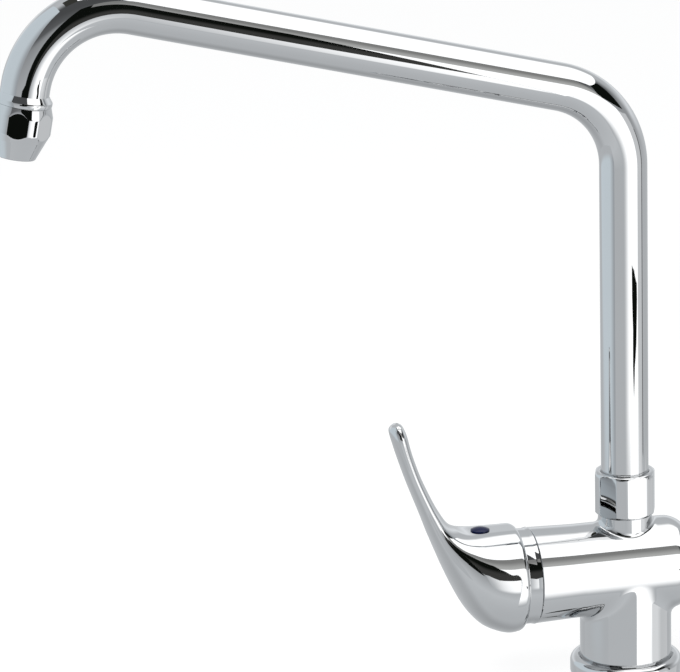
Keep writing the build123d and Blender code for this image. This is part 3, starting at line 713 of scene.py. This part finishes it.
aerator_turning = turned(divided(aerator_outline, FLAT_STEP), FLAT_SEGMENTS)
aerator_rings = on_outlet(with_flats(aerator_turning, AERATOR_ACROSS, AERATOR_FLAT_DEG))
aerator = mesh_object("aerator_shell", aerator_rings, skin(aerator_rings))
smooth(aerator)
fit_in(aerator, "spout", "aerator_housing", turned_chrome)

# %% [markdown]
# ## Flange and collar
# Two plain turnings finish the body: the rounded flange that covers the tap hole, and the dress
# collar in front of the barrel. The collar's front is part of a ball around the point that the lever
# rocks on, so the lever's hollow cap can pass over it with the same small gap at every angle.

# %% Base flange
FLANGE_R = 26.0
FLANGE_H = 10.0
FLANGE_LOWER_ROUND = 2.5
FLANGE_UPPER_ROUND = 3.3
FLANGE_ROUND_STEPS = 12
FLANGE_INNER_CHAMFER = 1.2
FLANGE_LIP_R = 15.2
SPIGOT_R = 17.0
SPIGOT_H = 3.0
SPIGOT_ROUND = 0.4
GROOVE_R = 22.52
GROOVE_INNER_R = 18.98
GROOVE_H = 1.6

flange_bore = STEM_R + RUN_GAP
flange_outline = rounded(
    [
        (FLANGE_LIP_R, -SPIGOT_H), (SPIGOT_R, -SPIGOT_H), (SPIGOT_R, 0), (GROOVE_INNER_R, 0),
        (GROOVE_INNER_R, GROOVE_H), (GROOVE_R, GROOVE_H), (GROOVE_R, 0), (FLANGE_R, 0),
        (FLANGE_R, FLANGE_H), (flange_bore + FLANGE_INNER_CHAMFER, FLANGE_H),
        (flange_bore, FLANGE_H - FLANGE_INNER_CHAMFER), (flange_bore, STEM_FOOT), (FLANGE_LIP_R, STEM_FOOT),
    ],
    {1: SPIGOT_ROUND, 7: FLANGE_LOWER_ROUND, 8: FLANGE_UPPER_ROUND, 9: EDGE_ROUND},
    FLANGE_ROUND_STEPS,
)
flange_rings = turned(flange_outline)
flange = mesh_object("foot_flange", flange_rings, skin(flange_rings))
smooth(flange)
fit_in(flange, "body", "base_flange", turned_chrome)

# %% Dress collar
PIVOT = 42.5
RIM = 52.5
COLLAR_R = 22.2
COLLAR_SHELL = 1.4
COLLAR_MOUTH_R = 15.0
BALL_STEPS = 24
ball_r = hypot(RIM - PIVOT, COLLAR_R)


def ball_arc(radius, start_r, end_r):
    """Outline points on the ball around the pivot, between two distances from the axis."""
    angles = np.linspace(asin(start_r / radius), asin(end_r / radius), BALL_STEPS + 1)
    return [(radius * sin(angle), PIVOT + radius * cos(angle)) for angle in angles]


inner_ball_r = ball_r - COLLAR_SHELL
foot_r = sqrt(inner_ball_r**2 - (BARREL_FRONT - PIVOT) ** 2)
collar_outline = [(foot_r, BARREL_FRONT), (COLLAR_R, BARREL_FRONT)]
collar_outline += ball_arc(ball_r, COLLAR_R, COLLAR_MOUTH_R)
collar_outline += ball_arc(inner_ball_r, COLLAR_MOUTH_R, foot_r)[:-1]
collar_rings = laid_forward(turned(np.array(collar_outline)))
collar = mesh_object("lever_collar", collar_rings, skin(collar_rings))
smooth(collar)
fit_in(collar, "body", "dress_collar", turned_chrome)

# %% [markdown]
# ## The lever
# The lever is one flowing form: a round hollow cap that narrows and turns up into a slim blade. It is
# drawn as ellipses across it, each between a point on its upper edge and one on its lower edge. More
# ellipses are put halfway between, on a curve through four neighbours, until the skin is smooth. The
# top of the cap is then pressed down to a small flat that sweeps up into the blade.

# %% Lever stations
CAP_R = 25.2
CAP_LENGTH = 8.0
RIM_ROUND = 3.0
# Forward and up of the upper edge, forward and up of the lower edge, half the width.
LEVER_STATIONS = (
    (RIM_ROUND, CAP_R, RIM_ROUND, -CAP_R, CAP_R),
    (CAP_LENGTH, CAP_R, CAP_LENGTH, -CAP_R, CAP_R),
    (12.5, CAP_R, 18.1, -20.6, 24.5),
    (17.0, CAP_R, 26.6, -10.6, 22.6),
    (22.0, 25.3, 34.1, 4.4, 18.9),
    (26.5, 25.8, 38.2, 14.1, 15.7),
    (30.5, 27.3, 40.8, 20.5, 13.3),
    (34.0, 30.3, 43.0, 26.1, 11.6),
    (37.2, 35.2, 45.2, 32.2, 10.4),
    (40.5, 41.3, 47.6, 38.6, 9.3),
    (45.9, 53.4, 52.3, 51.0, 8.2),
    (49.9, 65.3, 56.3, 62.9, 7.7),
    (51.8, 73.0, 58.6, 70.5, 7.5),
    (53.0, 76.4, 59.6, 74.0, 6.6),
    (54.2, 78.6, 59.9, 76.5, 5.0),
    (55.6, 79.3, 58.6, 78.3, 3.0),
)
HALVINGS = 3
LEVER_SEGMENTS = 256


def halfway_added(rows):
    """The rows with one more halfway along each gap, on a curve through its four neighbours."""
    padded = np.concatenate([rows[:1], rows, rows[-1:]])
    middle = (9 * (padded[1:-2] + padded[2:-1]) - padded[:-3] - padded[3:]) / 16
    both = np.empty((2 * len(rows) - 1, rows.shape[1]))
    both[::2] = rows
    both[1::2] = middle
    return both


def lever_ring(forward_up, up_up, forward_low, up_low, half_width):
    """An ellipse across the lever between its upper and lower edge."""
    angle = np.linspace(0, tau, LEVER_SEGMENTS, endpoint=False)
    rise = np.sin(angle)
    forward = (forward_up + forward_low) / 2 + (forward_up - forward_low) / 2 * rise
    height = (up_up + up_low) / 2 + (up_up - up_low) / 2 * rise
    return np.stack([half_width * np.cos(angle), -(RIM + forward), BARREL_Z + height], axis=-1)


rows = np.array(LEVER_STATIONS)
for _ in range(HALVINGS):
    rows = halfway_added(rows)
print(len(rows), "ellipses along the lever")

# %% Lever skin
DECK_RISE = 24.3
DECK_Z = BARREL_Z + DECK_RISE
DECK_RUN = 74.0
DECK_SWEEP_R = 14.0
SWEEP_LIMIT = 0.98
DECK_ROLL = 0.5
CAVITY_GAP = 0.65
CAVITY_R = ball_r + CAVITY_GAP
RIM_STEPS = 10
HOLLOW_STEPS = 24


def deck_height(forward):
    """Height of the cap's flat, which sweeps up into the blade."""
    over = np.clip((forward - DECK_RUN) / DECK_SWEEP_R, 0, SWEEP_LIMIT)
    return DECK_Z + DECK_SWEEP_R * (1 - np.sqrt(1 - over**2)) + np.where(over >= SWEEP_LIMIT, FAR, 0)


def circle(radius, forward):
    """A plain round ring of the cap, forward of its rim."""
    return lever_ring(forward, radius, forward, -radius, radius)


ring_r = CAP_R - RIM_ROUND
lip_r = sqrt(CAVITY_R**2 - (RIM - PIVOT) ** 2)
hollow_angles = np.linspace(0, asin(lip_r / CAVITY_R), HOLLOW_STEPS + 1)
hollow = [circle(CAVITY_R * sin(angle), PIVOT - RIM + CAVITY_R * cos(angle)) for angle in hollow_angles]
rim_angles = np.linspace(asin((lip_r - ring_r) / RIM_ROUND), pi / 2, RIM_STEPS, endpoint=False)
rim = [circle(ring_r + RIM_ROUND * sin(angle), RIM_ROUND * (1 - cos(angle))) for angle in rim_angles]
outer = np.array(rim + [lever_ring(*row) for row in rows])
outer[..., 2] = soft_min(outer[..., 2], deck_height(-outer[..., 1]), DECK_ROLL)
tip = np.repeat(outer[-1].mean(axis=0)[None, None], LEVER_SEGMENTS, axis=1)
lever_rings = np.concatenate([np.array(hollow), outer, tip])
lever = mesh_object("lever_handle", lever_rings, skin(lever_rings, loop=False))
print(lever.name, len(lever_rings), "rings before the holes")

# %% Lever socket and screw hole
SPINDLE_TILT = radians(11)
SPINDLE_SIDE = 7.04
SPINDLE_FRONT = 30.02
BUTTON_FORWARD = 70.0
BUTTON_R = 4.4
BUTTON_DEPTH = 4.0
BUTTON_SEGMENTS = 96
GRUB_R = 2.52
GRUB_BOTTOM = 61.61
GRUB_SEGMENTS = 64

square = SPINDLE_SIDE / 2 * np.array([(-1, -1), (1, -1), (1, 1), (-1, 1)])
bar = []
for reach in (0, SPINDLE_FRONT):
    forward = PIVOT + reach * cos(SPINDLE_TILT) - square[:, 1] * sin(SPINDLE_TILT)
    height = BARREL_Z + reach * sin(SPINDLE_TILT) + square[:, 1] * cos(SPINDLE_TILT)
    bar.append(np.stack([square[:, 0], -forward, height], axis=-1))
bar_faces = skin(np.array(bar), loop=False) + [[0, 1, 2, 3], [4, 5, 6, 7]]
socket = mesh_object("socket", np.array(bar), bar_faces)
button_place = (0, -BUTTON_FORWARD, 0)
button_bottom = DECK_Z - BUTTON_DEPTH
button_hole = drum(BUTTON_R + SEAT_GAP, button_bottom, DECK_Z + SPARE, BUTTON_SEGMENTS) + button_place
grub_hole = drum(GRUB_R, GRUB_BOTTOM, DECK_Z, GRUB_SEGMENTS) + button_place
cut_away(lever, [socket, cutter(button_hole), cutter(grub_hole)])
smooth(lever)
fit_in(lever, "lever", "lever", cast_chrome)

# %% [markdown]
# ## The index button
# A small domed plug hides the screw and shows which way is hot. It is moulded in blue with a red strip
# at the hot side. Two pieces could be set together, but the colour alone changes, so one material
# takes a step on the object's X.

# %% Index button
BUTTON_STAND = 0.5
BUTTON_DOME = 1.1
DOME_STEPS = 16
dome_r = (BUTTON_R**2 + BUTTON_DOME**2) / (2 * BUTTON_DOME)
dome_angles = np.linspace(asin(BUTTON_R / dome_r), 0, DOME_STEPS + 1)
dome_base = DECK_Z + BUTTON_STAND + BUTTON_DOME - dome_r
button_outline = [(0, button_bottom), (BUTTON_R, button_bottom)]
button_outline += [(dome_r * sin(angle), dome_base + dome_r * cos(angle)) for angle in dome_angles]
button_rings = turned(np.array(button_outline), BUTTON_SEGMENTS) + button_place
button = mesh_object("hot_cold_button", button_rings, skin(button_rings))
smooth(button)

# %% Two colours of the button
BLUES = ((0.003, 0.006, 0.035), (0.006, 0.012, 0.06))
RED = (0.14, 0.012, 0.012)
PLUG_SPECULAR = 0.2
# The red gives way to blue between these two places on X, in millimetres.
RED_EDGE = -2.7
BLUE_EDGE = -2.4
two_colour = grained("two_colour", BLUES, roughness=(0.08, 0.16), scale=1500, depth=0.002)
tree = two_colour.node_tree
shader = tree.nodes["Principled BSDF"]
shader.inputs["Specular IOR Level"].default_value = PLUG_SPECULAR
side = tree.nodes.new("ShaderNodeSeparateXYZ")
step = tree.nodes.new("ShaderNodeMapRange")
halves = tree.nodes.new("ShaderNodeMix")
halves.data_type = "RGBA"
halves.inputs["A"].default_value = (*RED, 1)
step.inputs["From Min"].default_value = RED_EDGE * MM
step.inputs["From Max"].default_value = BLUE_EDGE * MM
cold = shader.inputs["Base Color"].links[0].from_socket
tree.links.new(tree.nodes.new("ShaderNodeTexCoord").outputs["Object"], side.inputs["Vector"])
tree.links.new(side.outputs["X"], step.inputs["Value"])
tree.links.new(step.outputs["Result"], halves.inputs["Factor"])
tree.links.new(cold, halves.inputs["B"])
tree.links.new(halves.outputs["Result"], shader.inputs["Base Color"])
fit_in(button, "lever", "index_button", two_colour)

# %% [markdown]
# ## The threaded stud
# Under the worktop a steel stud carries the nut that clamps the tap down. The solid model leaves it
# plain, but the thread is what makes it look like a stud. A screw modifier on a small outline could
# make one. Here every ring of points is pulled in by a groove that climbs one pitch per turn, so the
# ends stay closed and chamfered.

# %% Threaded stud
STUD_R = 4.0
STUD_TOP = 14.0
STUD_BOTTOM = -62.0
STUD_CHAMFER = 0.8
THREAD_PITCH = 1.25
THREAD_DEPTH = 0.6
THREAD_STEP = 0.15
STUD_SEGMENTS = 64

heights = np.arange(STUD_BOTTOM, STUD_TOP + THREAD_STEP / 2, THREAD_STEP).clip(max=STUD_TOP)
from_end = np.minimum(heights - STUD_BOTTOM, STUD_TOP - heights)
plain = np.minimum(STUD_R, STUD_R - STUD_CHAMFER + from_end)
stud_outline = np.concatenate([[(0, STUD_BOTTOM)], np.stack([plain, heights], axis=-1), [(0, STUD_TOP)]])
stud_rings = turned(stud_outline, STUD_SEGMENTS)
radius = np.hypot(stud_rings[..., 0], stud_rings[..., 1])
turns = stud_rings[..., 2] / THREAD_PITCH - np.arctan2(stud_rings[..., 1], stud_rings[..., 0]) / tau
groove = THREAD_DEPTH * (1 - np.abs(2 * (turns % 1) - 1))
stud_rings[..., :2] *= (np.minimum(radius, STUD_R - groove) / np.maximum(radius, TINY))[..., None]
stud_rings += (0, STUD_Y, 0)
stud = mesh_object("threaded_stud", stud_rings, skin(stud_rings, loop=False))
smooth(stud)
fit_in(stud, "body", "fixing_stud", zinc)

# %% [markdown]
# ## Finishes of the pieces that keep their solids
# The cartridge, the seals and the fixing under the worktop keep the model's solids. Each takes the
# finish of its material slot, so a seal is rubber wherever it sits.

# %% Finishes by slot
FINISHES = {
    "chrome_casting": cast_chrome, "chrome_tube": tube_chrome, "chrome_nut": turned_chrome,
    "chrome_trim": turned_chrome, "chrome_lever": cast_chrome, "brass": raw_brass, "rubber": rubber,
    "zinc_steel": zinc, "stainless": stainless, "ceramic": ceramic, "white_plastic": white_plastic,
    "grey_plastic": grey_plastic, "index_button": two_colour,
}
for part in frame["record"]["subparts"]:
    solid = frame["nodes"][part["node"]]
    solid.data.materials.clear()
    solid.data.materials.append(FINISHES[part["material_slot"]])

# %% [markdown]
# ## The light tent
# Chrome looks like what stands around it. A catalogue photographer puts a tap in a white tent: a
# bright roof, a white board at one side, a pale board at the other, and a dark gap where the camera
# looks in. The boards here are glowing sheets that the camera can't see, so only the mirror shows
# them, and any view of the tap stays clear. They go on below the floor, because a polished table
# would show them upside down there. Chrome throws back about two thirds of the light, so the sheets
# glow nearly half as strong again as the tones that the tap should show.

# %% Glowing sheets
TENT_STRENGTH = 1.4
WHITE = (1.25, 1.25, 1.25)
FLOOR_GREY = (0.46, 0.475, 0.49)
BLACK = (0.004, 0.005, 0.004)


def glow(name, colour, *fades):
    """A glowing sheet's material; each fade turns it into a far colour between two places on an axis."""
    material = bpy.data.materials.new(name)
    material.use_nodes = True
    tree = material.node_tree
    tree.nodes.remove(tree.nodes["Principled BSDF"])
    light = tree.nodes.new("ShaderNodeEmission")
    light.inputs["Color"].default_value = (*colour, 1)
    light.inputs["Strength"].default_value = TENT_STRENGTH
    tree.links.new(light.outputs["Emission"], tree.nodes["Material Output"].inputs["Surface"])
    place = tree.nodes.new("ShaderNodeSeparateXYZ")
    tree.links.new(tree.nodes.new("ShaderNodeTexCoord").outputs["Object"], place.inputs["Vector"])
    last = None
    for far_colour, axis, begin, end in fades:
        share = tree.nodes.new("ShaderNodeMapRange")
        share.interpolation_type = "SMOOTHSTEP"
        share.inputs["From Min"].default_value = begin
        share.inputs["From Max"].default_value = end
        mix = tree.nodes.new("ShaderNodeMix")
        mix.data_type = "RGBA"
        mix.inputs["A"].default_value = (*colour, 1)
        mix.inputs["B"].default_value = (*far_colour, 1)
        if last:
            tree.links.new(last.outputs["Result"], mix.inputs["A"])
        tree.links.new(place.outputs[axis], share.inputs["Value"])
        tree.links.new(share.outputs["Result"], mix.inputs["Factor"])
        tree.links.new(mix.outputs["Result"], light.inputs["Color"])
        last = mix
    return material


def sheet(name, corners, material):
    """A flat sheet of the tent that only mirrors see."""
    mesh = bpy.data.meshes.new(name)
    mesh.from_pydata(corners, [], [list(range(len(corners)))])
    mesh.materials.append(material)
    obj = bpy.data.objects.new(name, mesh)
    scene.collection.objects.link(obj)
    obj.visible_camera = False
    obj.visible_diffuse = False
    obj.visible_shadow = False


def facing_front(x, outline):
    """Corners of a sheet that stands across X, from an outline of (y, z)."""
    return [(x, y, z) for y, z in outline]


def facing_side(y, outline):
    """Corners of a sheet that stands across Y, from an outline of (x, z)."""
    return [(x, y, z) for x, z in outline]


def lying(z, outline):
    """Corners of a level sheet, from an outline of (x, y)."""
    return [(x, y, z) for x, y in outline]


# %% [markdown]
# ## Roof and boards
# The roof gives the bright upper sides, the white board the broad highlights, and the pale boards the
# grey flanks. A tone that changes along a board is a fade in its material. Lamps could light plain
# boards, but then each board's tone would hang on every lamp. Boards that overlap stand a few
# millimetres apart.

# %% Roof and boards
FRONT = 0.65
SOFT_X = FRONT + 0.008
UPPER_X = FRONT + 0.012
ROOF_Z = 1.0
LEFT_Y = -0.9
RIGHT_Y = 1.26
white_outline = [(0.125, -0.65), (0.87, -0.65), (0.87, 0.49), (0.125, 0.49)]
white_glow = glow("white_glow", FLOOR_GREY, (WHITE, "Z", -0.62, -0.24))
sheet("white_board", facing_front(FRONT, white_outline), white_glow)
soft_outline = [(-0.2, -0.16), (0.125, -0.16), (0.125, 0.3), (-0.2, 0.3)]
soft_glow = glow("soft_glow", FLOOR_GREY, (WHITE, "Y", -0.2, 0.16), (FLOOR_GREY, "Z", -0.06, -0.16))
sheet("soft_edge", facing_front(SOFT_X, soft_outline), soft_glow)
upper_outline = [(-0.25, 0.48), (0.6, 0.48), (0.6, 1.0), (-0.25, 1.0)]
upper_glow = glow("upper_glow", (0.45, 0.45, 0.44), ((0.22, 0.22, 0.215), "Z", 0.5, 0.85))
sheet("upper_board", facing_front(UPPER_X, upper_outline), upper_glow)
roof_outline = [(0.645, 0.08), (0.645, 0.9), (-0.7, 0.9), (-0.7, -0.4), (0.02, -0.4)]
roof_glow = glow("roof_glow", (0.5, 0.51, 0.52), (WHITE, "X", -0.7, -0.45))
sheet("roof", lying(ROOF_Z, roof_outline), roof_glow)
left_outline = [(-1.5, -0.5), (0.5, -0.5), (0.5, 0.85), (0.2, 1.6), (-1.5, 1.6)]
left_fades = [((0.34, 0.36, 0.38), "X", 0.05, 0.48), (FLOOR_GREY, "Z", -0.14, -0.34)]
left_glow = glow("left_glow", (0.56, 0.62, 0.66), *left_fades)
sheet("left_board", facing_side(LEFT_Y, left_outline), left_glow)
right_outline = [(-0.5, -0.6), (0.95, -0.6), (0.95, 0.56), (0.33, 0.56), (0.31, -0.3), (-0.5, -0.3)]
right_fades = [((0.58, 0.59, 0.60), "Z", -0.36, -0.26), ((0.56, 0.57, 0.58), "X", 0.5, 0.1)]
right_glow = glow("right_glow", (0.74, 0.75, 0.76), *right_fades)
sheet("right_board", facing_side(RIGHT_Y, right_outline), right_glow)
print("roof and boards in place")

# %% [markdown]
# ## Dark gaps
# Where the boards leave a gap, the mirror shows black. The camera's gap and the door draw the long
# dark bands along the spout and the lever. The door fades to dark grey lower down, and so do the
# bands. The slot is a dark strip in front of the white board, which the riser draws out to a thin wedge.

# %% Dark gaps
DOOR_X = FRONT + 0.005
SLOT_X = FRONT - 0.005
SEAM_Y = 1.24
dark_glow = glow("dark_glow", BLACK)
camera_gap = [
    (-0.60, 0.12), (-0.47, 0.11), (-0.46, 0.09), (-0.25, 0.11), (-0.25, 0.95), (-0.37, 0.95),
    (-0.42, 0.5), (-0.47, 0.24), (-0.60, 0.23),
]
sheet("camera_gap", facing_front(FRONT, camera_gap), dark_glow)
door_gap = [(-0.25, 0.16), (-0.12, 0.18), (0.0, 0.15), (0.13, 0.18), (0.13, 0.6), (-0.25, 0.8)]
door_glow = glow("door_glow", BLACK, ((0.042, 0.042, 0.04), "Z", 0.46, 0.3))
sheet("door_gap", facing_front(DOOR_X, door_gap), door_glow)
corner_gap = [(1.0, 0.82, 0.6), (0.65, 1.11, 1.25), (0, 1.285, 1.25), (0.28, 1.24, 0.62)]
sheet("corner_gap", corner_gap, dark_glow)
seam_gap = [(0.11, -0.28), (0.22, -0.28), (0.3, 0.35), (0.22, 0.35)]
sheet("seam_gap", facing_side(SEAM_Y, seam_gap), glow("seam_glow", (0.10, 0.10, 0.10)))
rim_gap = [(-0.4, -0.52), (0.05, -0.52), (0.05, -0.4), (-0.4, -0.4)]
sheet("rim_gap", lying(ROOF_Z, rim_gap), glow("rim_glow", (0.04, 0.04, 0.035)))
slot_gap = [
    (0.37, -0.084), (0.46, -0.077), (0.62, -0.092), (0.73, -0.082), (0.70, -0.066), (0.42, -0.008),
    (0.25, 0.016), (0.26, -0.004), (0.315, -0.032), (0.305, -0.054),
]
sheet("slot_gap", facing_front(SLOT_X, slot_gap), dark_glow)
print("dark gaps in place")

# %% [markdown]
# ## World, floor and lamp
# The world is the rest of the room, in two ramps over height: one for the side the camera is on and
# one for the far side, which is brighter overhead. It is plain white where the camera looks straight
# at it. The floor is a pale sheet with the tap hole in it. A large soft lamp gives the gentle shadow
# at the foot.

# %% World
# Each tone belongs to the height of a direction, -1 straight down and 1 straight up.
NEAR_TONES = (
    (-1.0, 0.47), (-0.5, 0.55), (-0.3, 0.48), (-0.08, 0.40), (0.35, 0.27), (0.5, 0.11), (0.8, 0.07),
)
FAR_TONES = (
    (-1.0, 0.33), (-0.5, 0.46), (-0.3, 0.44), (-0.05, 0.5), (0.16, 0.72), (0.4, 0.47), (0.8, 0.52),
)
ROOM_TINT = (0.97, 1.0, 1.03)
NEAR_EDGE = 0.1
FAR_EDGE = -0.45
world = bpy.data.worlds.new("studio")
scene.world = world
world.use_nodes = True
sky = world.node_tree
background = sky.nodes["Background"]
way = sky.nodes.new("ShaderNodeSeparateXYZ")
sky.links.new(sky.nodes.new("ShaderNodeTexCoord").outputs["Generated"], way.inputs["Vector"])


def over_height(tones):
    """A colour ramp over the height of a direction."""
    rise = sky.nodes.new("ShaderNodeMapRange")
    rise.inputs["From Min"].default_value = -1
    sky.links.new(way.outputs["Z"], rise.inputs["Value"])
    ramp = sky.nodes.new("ShaderNodeValToRGB")
    stops = ramp.color_ramp.elements
    stops.remove(stops[1])
    for number, (height, tone) in enumerate(tones):
        place = (height + 1) / 2
        stop = stops.new(place) if number else stops[0]
        stop.position = place
        stop.color = (*(TENT_STRENGTH * tone * share for share in ROOM_TINT), 1)
    sky.links.new(rise.outputs["Result"], ramp.inputs["Fac"])
    return ramp.outputs["Color"]


far_side = sky.nodes.new("ShaderNodeMapRange")
far_side.interpolation_type = "SMOOTHSTEP"
far_side.inputs["From Min"].default_value = NEAR_EDGE
far_side.inputs["From Max"].default_value = FAR_EDGE
room = sky.nodes.new("ShaderNodeMix")
room.data_type = "RGBA"
seen = sky.nodes.new("ShaderNodeMix")
seen.data_type = "RGBA"
seen.inputs["B"].default_value = (1, 1, 1, 1)
sky.links.new(way.outputs["X"], far_side.inputs["Value"])
sky.links.new(far_side.outputs["Result"], room.inputs["Factor"])
sky.links.new(over_height(NEAR_TONES), room.inputs["A"])
sky.links.new(over_height(FAR_TONES), room.inputs["B"])
sky.links.new(sky.nodes.new("ShaderNodeLightPath").outputs["Is Camera Ray"], seen.inputs["Factor"])
sky.links.new(room.outputs["Result"], seen.inputs["A"])
sky.links.new(seen.outputs["Result"], background.inputs["Color"])
print("world", world.name)

# %% Floor with the tap hole
FLOOR_R = 6000.0
TAP_HOLE_R = 17.5
FLOOR_PAINT = (0.2, 0.2, 0.2)
FLOOR_GLOW = 0.88
floor_rings = turned(np.array([(TAP_HOLE_R, 0), (FLOOR_R, 0)]))
floor = mesh_object("floor", floor_rings, skin(floor_rings, loop=False))
floor.visible_glossy = False
pale = bpy.data.materials.new("pale_floor")
pale.use_nodes = True
tree = pale.node_tree
tree.nodes.remove(tree.nodes["Principled BSDF"])
paint = tree.nodes.new("ShaderNodeBsdfDiffuse")
paint.inputs["Color"].default_value = (*FLOOR_PAINT, 1)
white = tree.nodes.new("ShaderNodeEmission")
white.inputs["Strength"].default_value = FLOOR_GLOW
both = tree.nodes.new("ShaderNodeAddShader")
tree.links.new(paint.outputs["BSDF"], both.inputs[0])
tree.links.new(white.outputs["Emission"], both.inputs[1])
tree.links.new(both.outputs["Shader"], tree.nodes["Material Output"].inputs["Surface"])
floor.data.materials.append(pale)
print("floor with a hole of", 2 * TAP_HOLE_R, "mm")

# %% Soft lamp
LAMP_PLACE = Vector((0.7, -0.5, 1.4))
LAMP_ACROSS = 1.2
LAMP_WATTS = 22
lamp_data = bpy.data.lights.new("soft_lamp", "AREA")
lamp_data.shape = "DISK"
lamp_data.size = LAMP_ACROSS
lamp_data.energy = LAMP_WATTS
lamp = bpy.data.objects.new("soft_lamp", lamp_data)
lamp.location = LAMP_PLACE
lamp.rotation_euler = (-LAMP_PLACE).to_track_quat("-Z", "Y").to_euler()
lamp.visible_glossy = False
scene.collection.objects.link(lamp)
print("lamp", LAMP_WATTS, "W")
